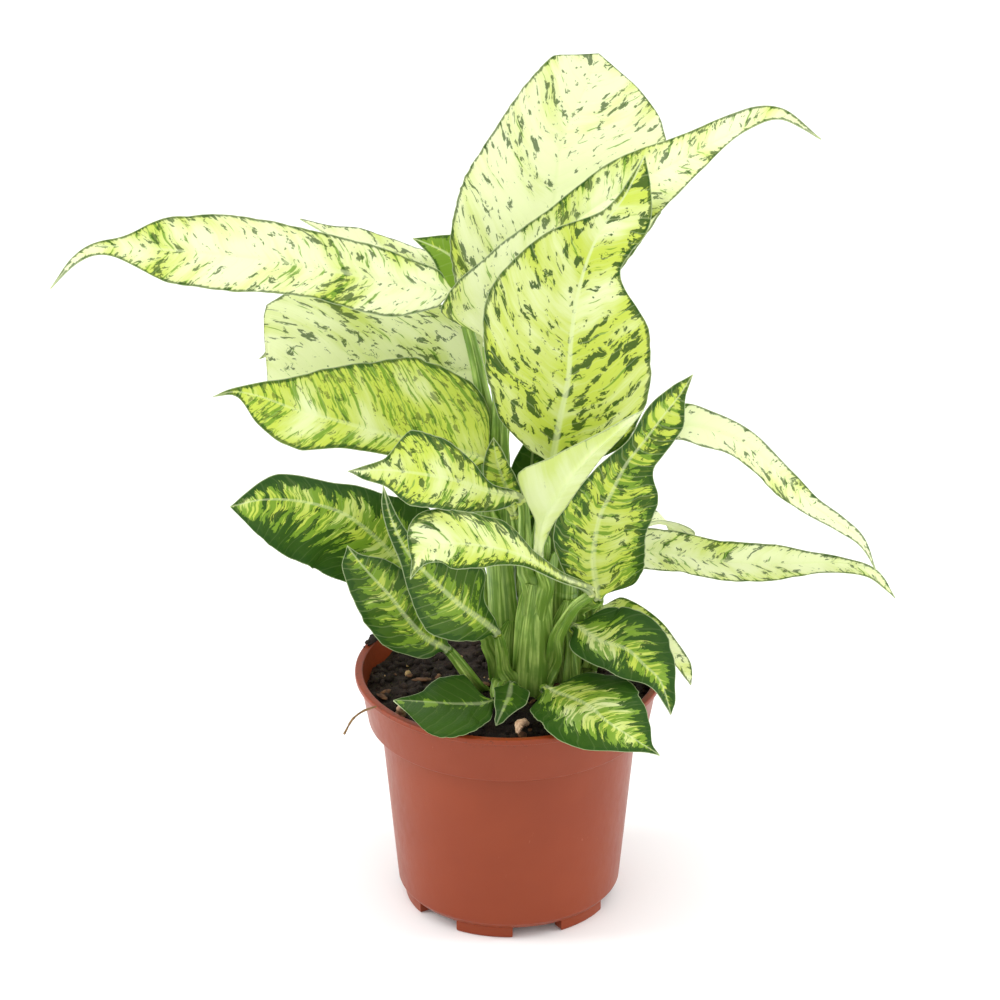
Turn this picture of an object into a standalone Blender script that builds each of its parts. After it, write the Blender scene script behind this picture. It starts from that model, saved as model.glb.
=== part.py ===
"""Potted dieffenbachia: a clump of shoots with variegated leaves in a 12 cm plastic nursery pot.

The table and the constants are in millimetres, measured from the pot's axis and the floor.
Objects are made in metres. At the end the whole plant is shifted so that its plan centre is
at the origin and it stands on z = 0.
"""

import math

import bmesh
import bpy
import numpy as np
from mathutils import Vector

MM = 0.001
GAP = 0.3  # clearance between pieces that touch in the real plant

# Pot, moulded in one piece
POT_HEIGHT = 97.5
LIP_RADIUS = 60.0
LIP_THICK = 2.3
COLLAR_TOP_RADIUS = 58.2
COLLAR_FOOT_RADIUS = 54.9
COLLAR_DROP = 20.5
WALL_TOP_RADIUS = 50.2
WALL_FOOT_RADIUS = 43.6
WALL = 1.2
FLOOR_HEIGHT = 4.6
FLOOR_THICK = 1.6
FOOT_RADIUS = 41.0
FOOT_WIDTH = 5.0
FOOT_ARC = 32.0
FOOT_COUNT = 6
FOOT_TURN = -104.0  # direction of one foot, degrees from +X
DRAIN_RADIUS = 4.0
DRAIN_RING = 30.0

# Compost
SOIL_EDGE = 89.0
SOIL_CROWN = 91.5
SOIL_FOOT = FLOOR_HEIGHT + FLOOR_THICK + GAP

# Leaf section
BLADE_THICK = 0.6
RIB_DEPTH = 2.0
RIB_HALF = 1.5
STATIONS = (0.05, 0.18, 0.35, 0.52, 0.68, 0.82, 0.93)  # where the half-widths below are given
ROWS = (0, 0.02, 0.05, 0.11, 0.18, 0.26, 0.35, 0.43, 0.52, 0.6, 0.68, 0.75, 0.82, 0.88, 0.93, 0.97, 1)
COLUMNS = (0.72, 0.4)
STALK_ROWS = (0, 0.33, 0.67)

# name, foot x y, tip x y z, foot and tip radius
CANES = {
    "cane_left": ((-1, 6), (-5, 6, 190), 5.8, 3.8),
    "cane_front": ((9, -4), (12, -8, 160), 6.2, 4.2),
    "cane_right": ((21, 3), (22, 4, 150), 5.6, 4.2),
    "cane_rear": ((28, 14), (30, 17, 128), 4.6, 3.4),
}
CANE_FOOT = 82.0


def leaf(skin, stalk, rib, face, left, right, fold=(12, 12), curl=(4, 4), wave=(1, 2.2, 0.3)):
    """One leaf. Points run from the stalk's foot to the blade's tip; face is the upper side's
    direction at the blade's foot, middle and tip; left and right are half-widths at STATIONS
    as seen from above with the tip ahead; fold and curl are degrees, on the left and the right;
    wave is the margin's ripple height, how many waves, and where they start."""
    return dict(skin=skin, stalk=stalk, rib=rib, face=face, left=left, right=right,
                fold=fold, curl=curl, wave=wave)


LEAVES = {
    "leaf_top_rear": leaf(
        "pale", [(20, 6, 150.8), (16, 9, 195)],
        [(13, 12, 234), (14, 18, 252), (15, 24, 268), (17, 30, 282), (19, 36, 298), (23, 42, 310),
         (29, 48, 321), (34, 54, 332)],
        [(0, -1, 0.1), (0, -0.95, 0.3), (0, -0.8, 0.6)],
        (27, 36, 38, 35, 25, 20, 16), (20, 25, 35, 42, 41, 38, 20),
        (8, 8), (6, 6), (1.2, 2.5, 0.1)),
    "leaf_top_right": leaf(
        "pale", [(-3.2, 2.2, 190.8), (-4, -2, 214)],
        [(-8, -6, 239), (1, -6, 264), (21, -4, 284), (41, -4, 299), (63, -5, 312), (85, -7, 325),
         (100, -9, 331), (115, -11, 323)],
        [(-0.15, -0.95, 0.3), (-0.3, -0.6, 0.7), (0, -0.4, 0.9)],
        (20, 13, 10, 12, 9, 7, 2), (10, 14, 18, 20, 11, 2, 1.5),
        (8, 8), (6, 6), (0.6, 2.2, 0.3)),
    "leaf_top_front": leaf(
        "pale", [(12, -8, 160.8), (14, -12, 176)],
        [(16, -14, 191), (19, -18, 212), (22, -21, 230), (23, -23, 247), (25, -24, 264),
         (29, -23, 280), (35, -21, 293), (43, -18, 304), (50, -12, 317)],
        [(0, -1, 0.2), (0, -0.97, 0.2), (-0.1, -0.9, 0.4)],
        (10, 25, 32, 34, 21, 3, 1.5), (15, 28, 31, 28, 13, 15, 7),
        (8, 8), (4, 4), (0.6, 2.4, 0.6)),
    "leaf_left_upper": leaf(
        "pale", [(-7.6, 4.5, 190.8), (-10, 4, 212), (-15, 6, 236)],
        [(-21, 5, 253), (-41, 1, 260), (-67, -3, 267), (-93, -6, 273), (-119, -9, 277),
         (-139, -12, 280), (-152, -14, 281), (-161, -16, 277), (-171, -18, 266)],
        [(0, -0.6, 0.8), (0, -0.6, 0.8), (-0.2, -0.5, 0.8)],
        (9, 16, 14, 16, 15, 5, 1.5), (8, 12, 14, 16, 13, 3, 1.5),
        (6, 10), (-4, 6), (0.6, 2.5, 0.2)),
    "leaf_left_broad": leaf(
        "pale", [(-3, 7.5, 190.8), (-2, 12, 204)],
        [(-6, 12, 217), (-26, 11, 219), (-49, 10, 218), (-68, 9, 217), (-83, 8, 216), (-92, 8, 214)],
        [(0, -0.9, 0.4), (0, -0.9, 0.4), (0, -0.9, 0.4)],
        (8, 12, 12, 12, 12, 12, 11), (20, 25, 28, 31, 34, 35, 31),
        (8, 8), (4, 4), (0.8, 2.2, 0.4)),
    "leaf_left_mottled": leaf(
        "mid", [(-8, 0, 166), (-8, -2, 178)],
        [(-8, -4, 188), (-17, -6, 193), (-30, -9, 198), (-45, -12, 203), (-60, -15, 209),
         (-79, -18, 216), (-93, -21, 223), (-103, -23, 226), (-111, -25, 225)],
        [(0, -0.85, 0.5), (0, -0.85, 0.5), (-0.1, -0.8, 0.6)],
        (6, 8, 8, 10, 15, 11, 1.5), (17, 28, 31, 24, 16, 7, 1.5),
        (10, 10), (0, 4), (0.8, 2.3, 0.7)),
    "leaf_left_small": leaf(
        "pale", [(6, -12, 147), (6, -16, 165)],
        [(4, -20, 180), (-7, -26, 186), (-20, -33, 194), (-33, -40, 200), (-46, -45, 204),
         (-60, -50, 206)],
        [(0, -0.75, 0.65), (0, -0.75, 0.65), (0, -0.75, 0.65)],
        (4, 8, 12, 14, 14, 7, 4), (2, 3, 9, 15, 16, 4, 1.5),
        (12, 10), (0, 4), (0.5, 2, 0.2)),
    "leaf_left_dark": leaf(
        "dark", [(-9, 0, 112), (-17, -3, 122)],
        [(-27, -6, 130), (-42, -11, 149), (-53, -16, 164), (-64, -21, 175), (-79, -26, 182),
         (-93, -31, 185), (-105, -35, 184)],
        [(-0.1, -0.93, 0.35), (-0.1, -0.93, 0.35), (-0.2, -0.9, 0.4)],
        (10, 14, 21, 24, 23, 20, 13), (13, 19, 24, 15, 10, 10, 4),
        (8, 10), (0, 4), (0.8, 2.2, 0.5)),
    "leaf_left_low": leaf(
        "mid", [(-13, -8, 94), (-18, -12, 104)],
        [(-24, -16, 114), (-32, -22, 122), (-39, -27, 133), (-45, -31, 144), (-51, -34, 153),
         (-56, -37, 161), (-61, -38, 169)],
        [(-0.2, -0.85, 0.5), (-0.2, -0.85, 0.5), (-0.2, -0.85, 0.5)],
        (4, 9, 14, 14, 12, 9, 6), (6, 9, 11, 11, 11, 9, 2),
        (8, 10), (0, 4), (0.5, 2, 0.1)),
    "leaf_low_oblique": leaf(
        "mid", [(-2, -7, 101), (-3, -12, 112)],
        [(-5, -18, 122), (-11, -26, 132), (-19, -33, 142), (-29, -40, 156), (-38, -46, 170),
         (-44, -50, 186), (-47, -52, 201)],
        [(0, -0.85, 0.5), (0, -0.85, 0.5), (0, -0.85, 0.5)],
        (5, 11, 16, 11, 4, 3, 2), (3, 6, 16, 8, 5, 3, 1.5),
        (8, 10), (0, 4), (0.5, 2, 0.3)),
    "leaf_low_pale": leaf(
        "pale", [(17.5, -7, 104), (19, -14, 119), (25, -22, 135)],
        [(31, -26, 144), (19, -34, 154), (4, -42, 167), (-11, -50, 175), (-26, -57, 179),
         (-33, -61, 177), (-37, -64, 168)],
        [(0, -0.6, 0.8), (0, -0.6, 0.8), (-0.5, -0.6, 0.6)],
        (2, 2.5, 4, 8, 12, 13, 4), (2, 2.5, 4, 12, 13, 14, 2),
        (14, 10), (0, 4), (0.6, 2, 0.2)),
    "leaf_front_young": leaf(
        "pale", [(14, -14.5, 142), (12, -22, 152)],
        [(11, -30, 162), (13, -35, 178), (19, -38, 191), (28, -40, 205), (39, -41, 217),
         (50, -41, 227)],
        [(0.2, 0.9, 0.1), (0.2, 0.9, 0.2), (0.2, 0.9, 0.3)],
        (2, 4, 6, 6, 5, 4, 2), (2, 3, 17, 11, 6, 3, 1.5),
        (20, 10), (10, 4), (0.5, 2, 0.2)),
    "leaf_right_upright": leaf(
        "mid", [(27, -1, 124), (31, -9, 130)],
        [(34, -16, 136), (32, -21, 155), (34, -25, 174), (39, -27, 187), (44, -27, 198),
         (51, -25, 207), (58, -22, 216), (64, -19, 223), (69, -16, 230)],
        [(0.1, -1, 0.2), (0.1, -1, 0.1), (0.1, -1, 0.1)],
        (5, 13, 18, 13, 6, 8, 5), (14, 20, 19, 18, 9, 9, 2),
        (14, 14), (6, 6), (0.5, 2.2, 0.3)),
    "leaf_right_arching": leaf(
        "pale", [(25, 3, 153.5), (40, 8, 175)],
        [(58, 10, 191), (67, 9, 197), (77, 8, 196), (88, 7, 192), (98, 5, 185), (108, 3, 176),
         (117, 1, 167), (127, -2, 161), (135, -5, 155), (141, -8, 144)],
        [(0, -0.5, 1), (0.4, -0.5, 0.8), (0.8, -0.4, 0.6)],
        (10, 8, 6, 4, 4, 3, 1.5), (5, 11, 11, 12, 8, 6, 2),
        (10, 10), (6, 6), (0.5, 2.4, 0.1)),
    "leaf_right_level": leaf(
        "pale", [(35, 13, 124), (43, 13, 134)],
        [(43, 15, 142), (57, 11, 142.5), (68, 9, 142), (82, 6, 141), (97, 4, 141), (112, 2, 142),
         (128, 0, 143), (140, -3, 141), (149, -6, 131)],
        [(0, -0.3, 1), (0, -0.3, 1), (0.4, -0.3, 1)],
        (10, 11, 9, 9, 5, 2, 1.5), (12, 15, 15, 14, 10, 8, 4),
        (12, 12), (4, 4), (0.6, 2.3, 0.3)),
    "leaf_right_rear": leaf(
        "pale", [(30, 17.5, 131.5), (33, 22, 136)],
        [(40, 27, 139), (50, 31, 143), (59, 35, 144), (66, 39, 138), (69, 43, 125)],
        [(-0.2, 0.3, 1), (0, 0.2, 1), (0.3, 0.2, 1)],
        (6, 9, 10, 10, 8, 6, 3), (5, 8, 9, 9, 8, 5, 3),
        (12, 12), (6, 6), (1, 2, 0.3)),
    "leaf_low_right": leaf(
        "dark", [(24, -5.5, 94), (24, -4, 107)],
        [(25, -6, 118.5), (35, -15, 117), (45, -20, 116), (52, -26, 112), (58, -32, 108),
         (62, -38, 97)],
        [(-0.1, -0.5, 0.9), (0.2, -0.6, 0.8), (0.5, -0.6, 0.5)],
        (8, 15, 16, 15, 11, 5, 3), (6, 12, 14, 15, 11, 5, 2),
        (12, 12), (6, 6), (0.6, 2, 0.3)),
    "leaf_low_right_rear": leaf(
        "pale", [(32, 7.5, 96), (33, 10, 107)],
        [(35, 12, 116), (45, 10, 115), (55, 7, 110), (64, 3, 102), (71, -2, 91)],
        [(0.1, -0.3, 1), (0.4, -0.4, 0.8), (0.7, -0.4, 0.4)],
        (6, 8, 7, 6, 5, 5, 3), (6, 10, 11, 9, 6, 4, 2),
        (12, 12), (6, 6), (0.5, 2, 0.3)),
    "leaf_basal_left": leaf(
        "dark", [(-4, -9, 94.5), (-5, -18, 96)],
        [(-6, -27, 96.5), (-19, -33, 99), (-30, -39, 103), (-44, -45, 107)],
        [(0, -0.1, 1), (0, -0.1, 1), (0, -0.1, 1)],
        (8, 14, 20, 25, 29, 30, 26), (14, 17, 16, 12, 6, 3, 1.5),
        (6, 8), (-4, 4), (0.4, 2, 0.3)),
    "leaf_basal_mid": leaf(
        "dark", [(3, -13, 94), (2, -16, 97)],
        [(1, -19, 100), (0, -27, 99.5), (-2, -35, 98.5), (-5, -42, 94.5)],
        [(0, -0.3, 1), (0, -0.7, 1), (0, -0.9, 0.6)],
        (6, 8, 8, 8, 5, 3, 2), (6, 7, 6, 5, 4, 2, 1.5),
        (10, 10), (4, 4), (0.3, 2, 0.3)),
    "leaf_basal_right": leaf(
        "dark", [(15, -14, 94.5), (15, -17, 97)],
        [(14, -21, 99), (23, -30, 100.5), (31, -40, 101.5), (36, -48, 100.5), (44, -55, 98),
         (57, -63, 93)],
        [(0, -0.2, 1), (0, -0.3, 1), (0.2, -0.3, 1)],
        (5, 16, 19, 18, 16, 10, 2), (12, 19, 22, 23, 20, 11, 3),
        (10, 10), (-4, -4), (0.6, 2, 0.3)),
    "leaf_centre_young": leaf(
        "mid", [(5.4, -3.4, 150), (3.5, -3, 159)],
        [(2, -4, 166), (0, -5, 175), (-3, -7, 184), (-5, -8, 192), (-6, -8, 200)],
        [(-0.2, -1, 0.2), (-0.2, -1, 0.2), (-0.2, -1, 0.2)],
        (4, 6, 7, 7, 6, 4, 2), (3, 5, 6, 6, 5, 4, 2),
        (16, 16), (4, 4), (0.4, 2, 0.3)),
    "leaf_centre_dark": leaf(
        "dark", [(1.8, 12.5, 125.5), (3, 14.2, 131)],
        [(4, 15, 138), (6, 16, 152), (8, 16, 168), (9, 16.5, 182), (10, 17, 194)],
        [(0, -1, 0.1), (0, -1, 0.1), (0, -1, 0.2)],
        (4, 7, 9, 9, 8, 5, 2), (4, 7, 9, 9, 8, 5, 2),
        (10, 10), (4, 4), (0.5, 2, 0.3)),
    "leaf_rear_left": leaf(
        "mid", [(-9, 12, 118), (-16, 20, 150)],
        [(-22, 30, 172), (-38, 42, 192), (-60, 54, 206), (-82, 62, 208), (-98, 66, 200)],
        [(0.2, 0.3, 1), (0, 0.4, 1), (-0.3, 0.3, 1)],
        (12, 21, 27, 27, 22, 14, 6), (12, 21, 27, 27, 22, 14, 6),
        (10, 10), (2, 2), (1.5, 2.2, 0.3)),
    "leaf_rear_high": leaf(
        "pale", [(-10.5, 9, 160), (-14, 18, 200)],
        [(-18, 31, 232), (-30, 38, 246), (-50, 43, 254), (-66, 45, 260), (-80, 45, 268)],
        [(0.3, 0.2, 1), (0.2, 0.1, 1), (0.1, 0, 1)],
        (8, 15, 18, 17, 12, 7, 3), (8, 15, 18, 17, 12, 7, 3),
        (10, 10), (2, 2), (1, 2.2, 0.3)),
    "leaf_rear_small": leaf(
        "mid", [(15.5, 9, 140), (17, 24, 165), (10, 29, 200)],
        [(0, 36, 230), (-12, 40, 245), (-24, 44, 254), (-37, 47, 259)],
        [(-0.3, -0.5, 0.8), (-0.3, -0.5, 0.8), (-0.3, -0.5, 0.8)],
        (7, 13, 15, 13, 9, 5, 2), (7, 13, 15, 13, 9, 5, 2),
        (12, 12), (2, 2), (1, 2.2, 0.3)),
    "leaf_rear_right": leaf(
        "mid", [(31.5, 21.5, 100), (31, 31, 111)],
        [(32, 40, 117), (38, 54, 121), (44, 67, 115), (47, 77, 103)],
        [(0.2, 0.2, 1), (0.2, 0.3, 1), (0.4, 0.3, 0.8)],
        (8, 14, 16, 14, 10, 6, 3), (8, 14, 16, 14, 10, 6, 3),
        (10, 10), (4, 4), (1.2, 2.2, 0.3)),
}


# Helpers


def clear_scene():
    for obj in list(bpy.data.objects):
        bpy.data.objects.remove(obj)


def collection(name, shown=True):
    made = bpy.data.collections.new(name)
    made.hide_render = not shown
    bpy.context.scene.collection.children.link(made)
    return made


def material(name, colour, roughness):
    made = bpy.data.materials.new(name)
    made.use_nodes = True
    shader = made.node_tree.nodes["Principled BSDF"]
    shader.inputs["Base Color"].default_value = (*colour, 1)
    shader.inputs["Roughness"].default_value = roughness
    made.diffuse_color = (*colour, 1)
    return made


def mesh_object(name, points, faces, skin, group):
    mesh = bpy.data.meshes.new(name)
    mesh.from_pydata([Vector(p) * MM for p in points], [], faces)
    mesh.materials.append(skin)
    obj = bpy.data.objects.new(name, mesh)
    group.objects.link(obj)
    return obj


def turned(name, profile, steps, skin, group):
    """A profile of (radius, height) pairs turned about Z. It starts and ends on the axis."""
    points = [(r, 0, z) for r, z in profile]
    mesh = bpy.data.meshes.new(name)
    edges = [(i, i + 1) for i in range(len(points) - 1)]
    mesh.from_pydata([Vector(p) * MM for p in points], edges, [])
    mesh.materials.append(skin)
    obj = bpy.data.objects.new(name, mesh)
    group.objects.link(obj)
    screw = obj.modifiers.new("turn", "SCREW")
    screw.steps = steps
    screw.render_steps = steps
    screw.use_merge_vertices = True
    screw.merge_threshold = 0.00001
    screw.use_normal_calculate = True
    return obj


def combine(obj, other, operation):
    cut = obj.modifiers.new(other.name, "BOOLEAN")
    cut.operation = operation
    cut.solver = "EXACT"
    cut.object = other


def hide_cutter(obj):
    obj.hide_render = True
    obj.display_type = "WIRE"


def rod(name, radius, low, high, at, group, sides=24):
    """A plain cylinder between two heights, standing at a plan position."""
    made = bmesh.new()
    bmesh.ops.create_cone(made, cap_ends=True, segments=sides, radius1=radius * MM,
                          radius2=radius * MM, depth=(high - low) * MM)
    mesh = bpy.data.meshes.new(name)
    made.to_mesh(mesh)
    made.free()
    obj = bpy.data.objects.new(name, mesh)
    obj.location = Vector((at[0], at[1], (low + high) / 2)) * MM
    group.objects.link(obj)
    return obj


def unit(v):
    v = np.asarray(v, float)
    return v / np.linalg.norm(v, axis=-1, keepdims=True)


def smooth_line(points):
    """Distance along, and points of, a smooth curve through the given points."""
    p = np.asarray(points, float)
    p = np.vstack([2 * p[0] - p[1], p, 2 * p[-1] - p[-2]])
    u = np.linspace(0, 1, 40, endpoint=False)[:, None]
    run = []
    for i in range(1, len(p) - 2):
        a, b, c, d = p[i - 1:i + 3]
        bend = (2 * a - 5 * b + 4 * c - d) * u**2 + (3 * b - 3 * c + d - a) * u**3
        run.append(0.5 * (2 * b + (c - a) * u + bend))
    run = np.vstack(run + [p[-2][None]])
    along = np.concatenate([[0], np.cumsum(np.linalg.norm(np.diff(run, axis=0), axis=1))])
    return along, run


def on_line(along, run, q):
    return np.stack([np.interp(q, along, run[:, k]) for k in range(3)], -1)


def gentle(x, y, q):
    """A curve through (x, y) that never overshoots them, read at q."""
    x = np.asarray(x, float)
    y = np.asarray(y, float)
    h = np.diff(x)
    d = np.diff(y) / h
    m = np.concatenate([[d[0]], np.zeros(len(x) - 2), [d[-1]]])
    for i in range(1, len(x) - 1):
        if d[i - 1] * d[i] > 0:
            m[i] = 2 * d[i - 1] * d[i] / (d[i - 1] + d[i])
    k = np.clip(np.searchsorted(x, q, side="right") - 1, 0, len(h) - 1)
    u = (q - x[k]) / h[k]
    start = y[k] * (1 + 2 * u) * (1 - u) ** 2 + h[k] * m[k] * u * (1 - u) ** 2
    end = y[k + 1] * u * u * (3 - 2 * u) - h[k] * m[k + 1] * u * u * (1 - u)
    return start + end


def half_width(row, t):
    """Half-width at t of the blade's length. The foot is as wide as the stalk."""
    x = (0,) + STATIONS + (0.97, 1)
    y = (1.4,) + tuple(row) + (0.45 * row[-1], 0.12)
    return gentle(x, y, np.asarray(t, float))


def leaf_frames(shape, stalk_q, blade_q):
    """Centre, upper-side direction and right-hand direction of each section."""
    along, run = smooth_line(list(shape["stalk"]) + list(shape["rib"]))
    foot = along[len(shape["stalk"]) * 40]
    total = along[-1]
    q = np.concatenate([stalk_q * foot, foot + blade_q * (total - foot)])
    ahead = unit(on_line(along, run, np.minimum(q + 0.6, total))
                 - on_line(along, run, np.maximum(q - 0.6, 0)))
    t = np.concatenate([stalk_q - 1, blade_q])
    face = unit(shape["face"])
    up = np.stack([np.interp(t, [0, 0.5, 1], face[:, k]) for k in range(3)], -1)
    up = unit(up - (up * ahead).sum(-1, keepdims=True) * ahead)
    return on_line(along, run, q), up, np.cross(ahead, up)


def margin(shape, t, side, share):
    """Offsets to the right and up from the midrib, share of the way out to one margin."""
    row = shape["left"] if side < 0 else shape["right"]
    width = float(half_width(row, t))
    start = math.radians(shape["fold"][side > 0])
    turn = math.radians(shape["curl"][side > 0]) or 1e-5
    out = (math.sin(start + turn * share) - math.sin(start)) / turn * width
    lift = (math.cos(start) - math.cos(start + turn * share)) / turn * width
    height, waves, shift = shape["wave"]
    ripple = math.sin(2 * math.pi * (waves * t + shift + (0.37 if side > 0 else 0)))
    lift += height * ripple * share**1.6 * min(1, width / 12)
    return side * out, lift, width


def stalk_ring(centre, up, right, radius):
    ring = []
    for i in range(16):
        angle = 2 * math.pi * i / 16
        deep = radius * (0.55 if i == 4 else 0.85 if i in (3, 5) else 1)
        ring.append(centre + right * (deep * math.cos(angle)) + up * (deep * math.sin(angle)))
    return ring


def blade_ring(shape, centre, up, right, t):
    """Right margin, over the top to the left margin, and back underneath."""
    def at(side, share, lift):
        x, z, _ = margin(shape, t, side, share)
        return centre + right * x + up * (z + lift)

    def near(side):
        return min(0.3, RIB_HALF / margin(shape, t, side, 1)[2])

    skin = min(BLADE_THICK / 2, 0.1 + (1 - t))
    deep = 0.5 + (RIB_DEPTH - 0.5) * (1 - t) ** 1.3
    top = [at(1, s, skin) for s in COLUMNS] + [at(1, near(1), skin)]
    top += [centre + up * (skin - 0.1)]
    top += [at(-1, near(-1), skin)] + [at(-1, s, skin) for s in COLUMNS[::-1]]
    low = [at(-1, s, -skin) for s in COLUMNS] + [at(-1, near(-1), -skin)]
    low += [centre - up * deep]
    low += [at(1, near(1), -skin)] + [at(1, s, -skin) for s in COLUMNS[::-1]]
    return [at(1, 1, 0)] + top + [at(-1, 1, 0)] + low


def skin_rings(rings):
    """Faces between equal rings of points, with both ends closed. The second half of each
    ring is split along the diagonal that lies over the first half's, so a thin sheet's two
    sides bend on the same lines and never meet."""
    n = len(rings[0])
    faces = []
    for k in range(len(rings) - 1):
        for i in range(n):
            j = (i + 1) % n
            a, b = k * n, (k + 1) * n
            if i < n // 2:
                faces += [(a + i, a + j, b + j), (a + i, b + j, b + i)]
            else:
                faces += [(a + i, a + j, b + i), (a + j, b + j, b + i)]
    faces.append(tuple(range(n))[::-1])
    faces.append(tuple(range((len(rings) - 1) * n, len(rings) * n)))
    return [p for ring in rings for p in ring], faces


def build_leaf(name, shape, skins, group):
    stalk_q = np.array(STALK_ROWS)
    blade_q = np.array(ROWS)
    centre, up, right = leaf_frames(shape, stalk_q, blade_q)
    n = len(stalk_q)
    rings = []
    for i, q in enumerate(stalk_q):
        rings.append(stalk_ring(centre[i], up[i], right[i], 2.3 - 0.8 * q))
    for i, t in enumerate(blade_q):
        rings.append(blade_ring(shape, centre[n + i], up[n + i], right[n + i], t))
    points, faces = skin_rings(rings)
    obj = mesh_object(name, points, faces, skins[shape["skin"]], group)
    face_outward(obj)
    return obj


def build_tube(name, centres, radii, skin, group, sides=14):
    """A round shoot along given points."""
    c = np.asarray(centres, float)
    ahead = unit(np.gradient(c, axis=0))
    right = unit(np.cross(ahead, (0.0, 1.0, 0.05)))
    up = np.cross(right, ahead)
    rings = []
    for p, x, y, r in zip(c, right, up, radii):
        angles = [2 * math.pi * i / sides for i in range(sides)]
        rings.append([p + x * (r * math.cos(a)) + y * (r * math.sin(a)) for a in angles])
    points, faces = skin_rings(rings)
    obj = mesh_object(name, points, faces, skin, group)
    face_outward(obj)
    return obj


def face_outward(obj):
    made = bmesh.new()
    made.from_mesh(obj.data)
    bmesh.ops.recalc_face_normals(made, faces=made.faces)
    made.to_mesh(obj.data)
    made.free()


# Pieces


def pot_profile():
    """Underside, outer side with the collar, lip and inner side, back to the axis."""
    top, low = POT_HEIGHT, FLOOR_HEIGHT
    collar_foot = top - COLLAR_DROP
    outer = [(0, low), (WALL_FOOT_RADIUS - 5, low), (WALL_FOOT_RADIUS - 2, low + 0.8),
             (WALL_FOOT_RADIUS - 0.5, low + 2.6), (WALL_FOOT_RADIUS, low + 5),
             (WALL_TOP_RADIUS, collar_foot), (COLLAR_FOOT_RADIUS - 0.6, collar_foot),
             (COLLAR_FOOT_RADIUS, collar_foot + 0.6), (COLLAR_TOP_RADIUS, top - LIP_THICK),
             (LIP_RADIUS - 0.4, top - LIP_THICK), (LIP_RADIUS, top - LIP_THICK + 0.4),
             (LIP_RADIUS, top - 0.6), (LIP_RADIUS - 0.6, top)]
    inner = [(COLLAR_TOP_RADIUS - WALL, top), (COLLAR_TOP_RADIUS - WALL - 0.4, top - 0.5),
             (COLLAR_FOOT_RADIUS - WALL, collar_foot + 2.2),
             (WALL_TOP_RADIUS - WALL, collar_foot + 0.6),
             (WALL_FOOT_RADIUS - WALL, low + 5), (WALL_FOOT_RADIUS - 3, low + FLOOR_THICK),
             (0, low + FLOOR_THICK)]
    return outer + inner


def soil_radius(z):
    """Radius of the compost at a height: the pot's inner wall less the gap."""
    heights = [FLOOR_HEIGHT + FLOOR_THICK, FLOOR_HEIGHT + 5, POT_HEIGHT - COLLAR_DROP + 0.6,
               POT_HEIGHT - COLLAR_DROP + 2.2, POT_HEIGHT]
    radii = [WALL_FOOT_RADIUS - 3, WALL_FOOT_RADIUS - WALL, WALL_TOP_RADIUS - WALL,
             COLLAR_FOOT_RADIUS - WALL, COLLAR_TOP_RADIUS - WALL]
    return float(np.interp(z, heights, radii)) - 2 * GAP


def build_foot(index, skin, group):
    """One foot: a short curved pad under the floor of the pot."""
    middle = math.radians(FOOT_TURN + 360 / FOOT_COUNT * index)
    half = math.radians(FOOT_ARC / 2)
    rings = []
    for i in range(7):
        a = middle - half + 2 * half * i / 6
        ring = []
        for r, z in ((-0.4, 0), (0.4, 0), (0.5, 1), (-0.5, 1)):
            radius = FOOT_RADIUS - FOOT_WIDTH / 2 + r * FOOT_WIDTH
            ring.append((radius * math.cos(a), radius * math.sin(a), z * (FLOOR_HEIGHT + 1)))
        rings.append(ring)
    points, faces = skin_rings(rings)
    obj = mesh_object(f"foot_form_{index + 1}", points, faces, skin, group)
    face_outward(obj)
    hide_cutter(obj)
    return obj


def build_pot(skin, group, helpers):
    pot = turned("pot", pot_profile(), 72, skin, group)
    for index in range(FOOT_COUNT):
        combine(pot, build_foot(index, skin, helpers), "UNION")
        a = math.radians(FOOT_TURN + 360 / FOOT_COUNT * (index + 0.5))
        at = (DRAIN_RING * math.cos(a), DRAIN_RING * math.sin(a))
        hole = rod(f"drain_form_{index + 1}", DRAIN_RADIUS, 2, 9, at, helpers, 16)
        hide_cutter(hole)
        combine(pot, hole, "DIFFERENCE")
    return pot


def build_soil(skin, group, helpers):
    """Compost with a low crown, and a socket for each cane."""
    low = SOIL_FOOT
    knee = POT_HEIGHT - COLLAR_DROP
    profile = [(0, low), (soil_radius(low), low), (soil_radius(FLOOR_HEIGHT + 5), FLOOR_HEIGHT + 5),
               (WALL_TOP_RADIUS - WALL - 2 * GAP, knee + 1.4),
               (COLLAR_FOOT_RADIUS - WALL - 2 * GAP, knee + 3.2),
               (soil_radius(SOIL_EDGE), SOIL_EDGE), (46, SOIL_EDGE + 1.2),
               (30, SOIL_CROWN - 0.4), (0, SOIL_CROWN)]
    soil = turned("soil", profile, 48, skin, group)
    for name, (foot, _, radius, _) in CANES.items():
        socket = rod(f"socket_{name}", radius + 0.6, CANE_FOOT - GAP, 100, foot, helpers, 20)
        hide_cutter(socket)
        combine(soil, socket, "DIFFERENCE")
    return soil


def build_cane(name, skin, group):
    foot, tip, wide, narrow = CANES[name]
    steps = np.linspace(0, 1, 7)[:, None]
    low = np.array([foot[0], foot[1], CANE_FOOT], float)
    # The foot stays upright inside its socket and leans only above the compost.
    lean = np.clip((steps - 0.2) / 0.8, 0, 1)
    centres = low + (np.array(tip, float) - low) * np.hstack([lean, lean, steps])
    return build_tube(name, centres, wide + (narrow - wide) * steps[:, 0], skin, group)


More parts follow.
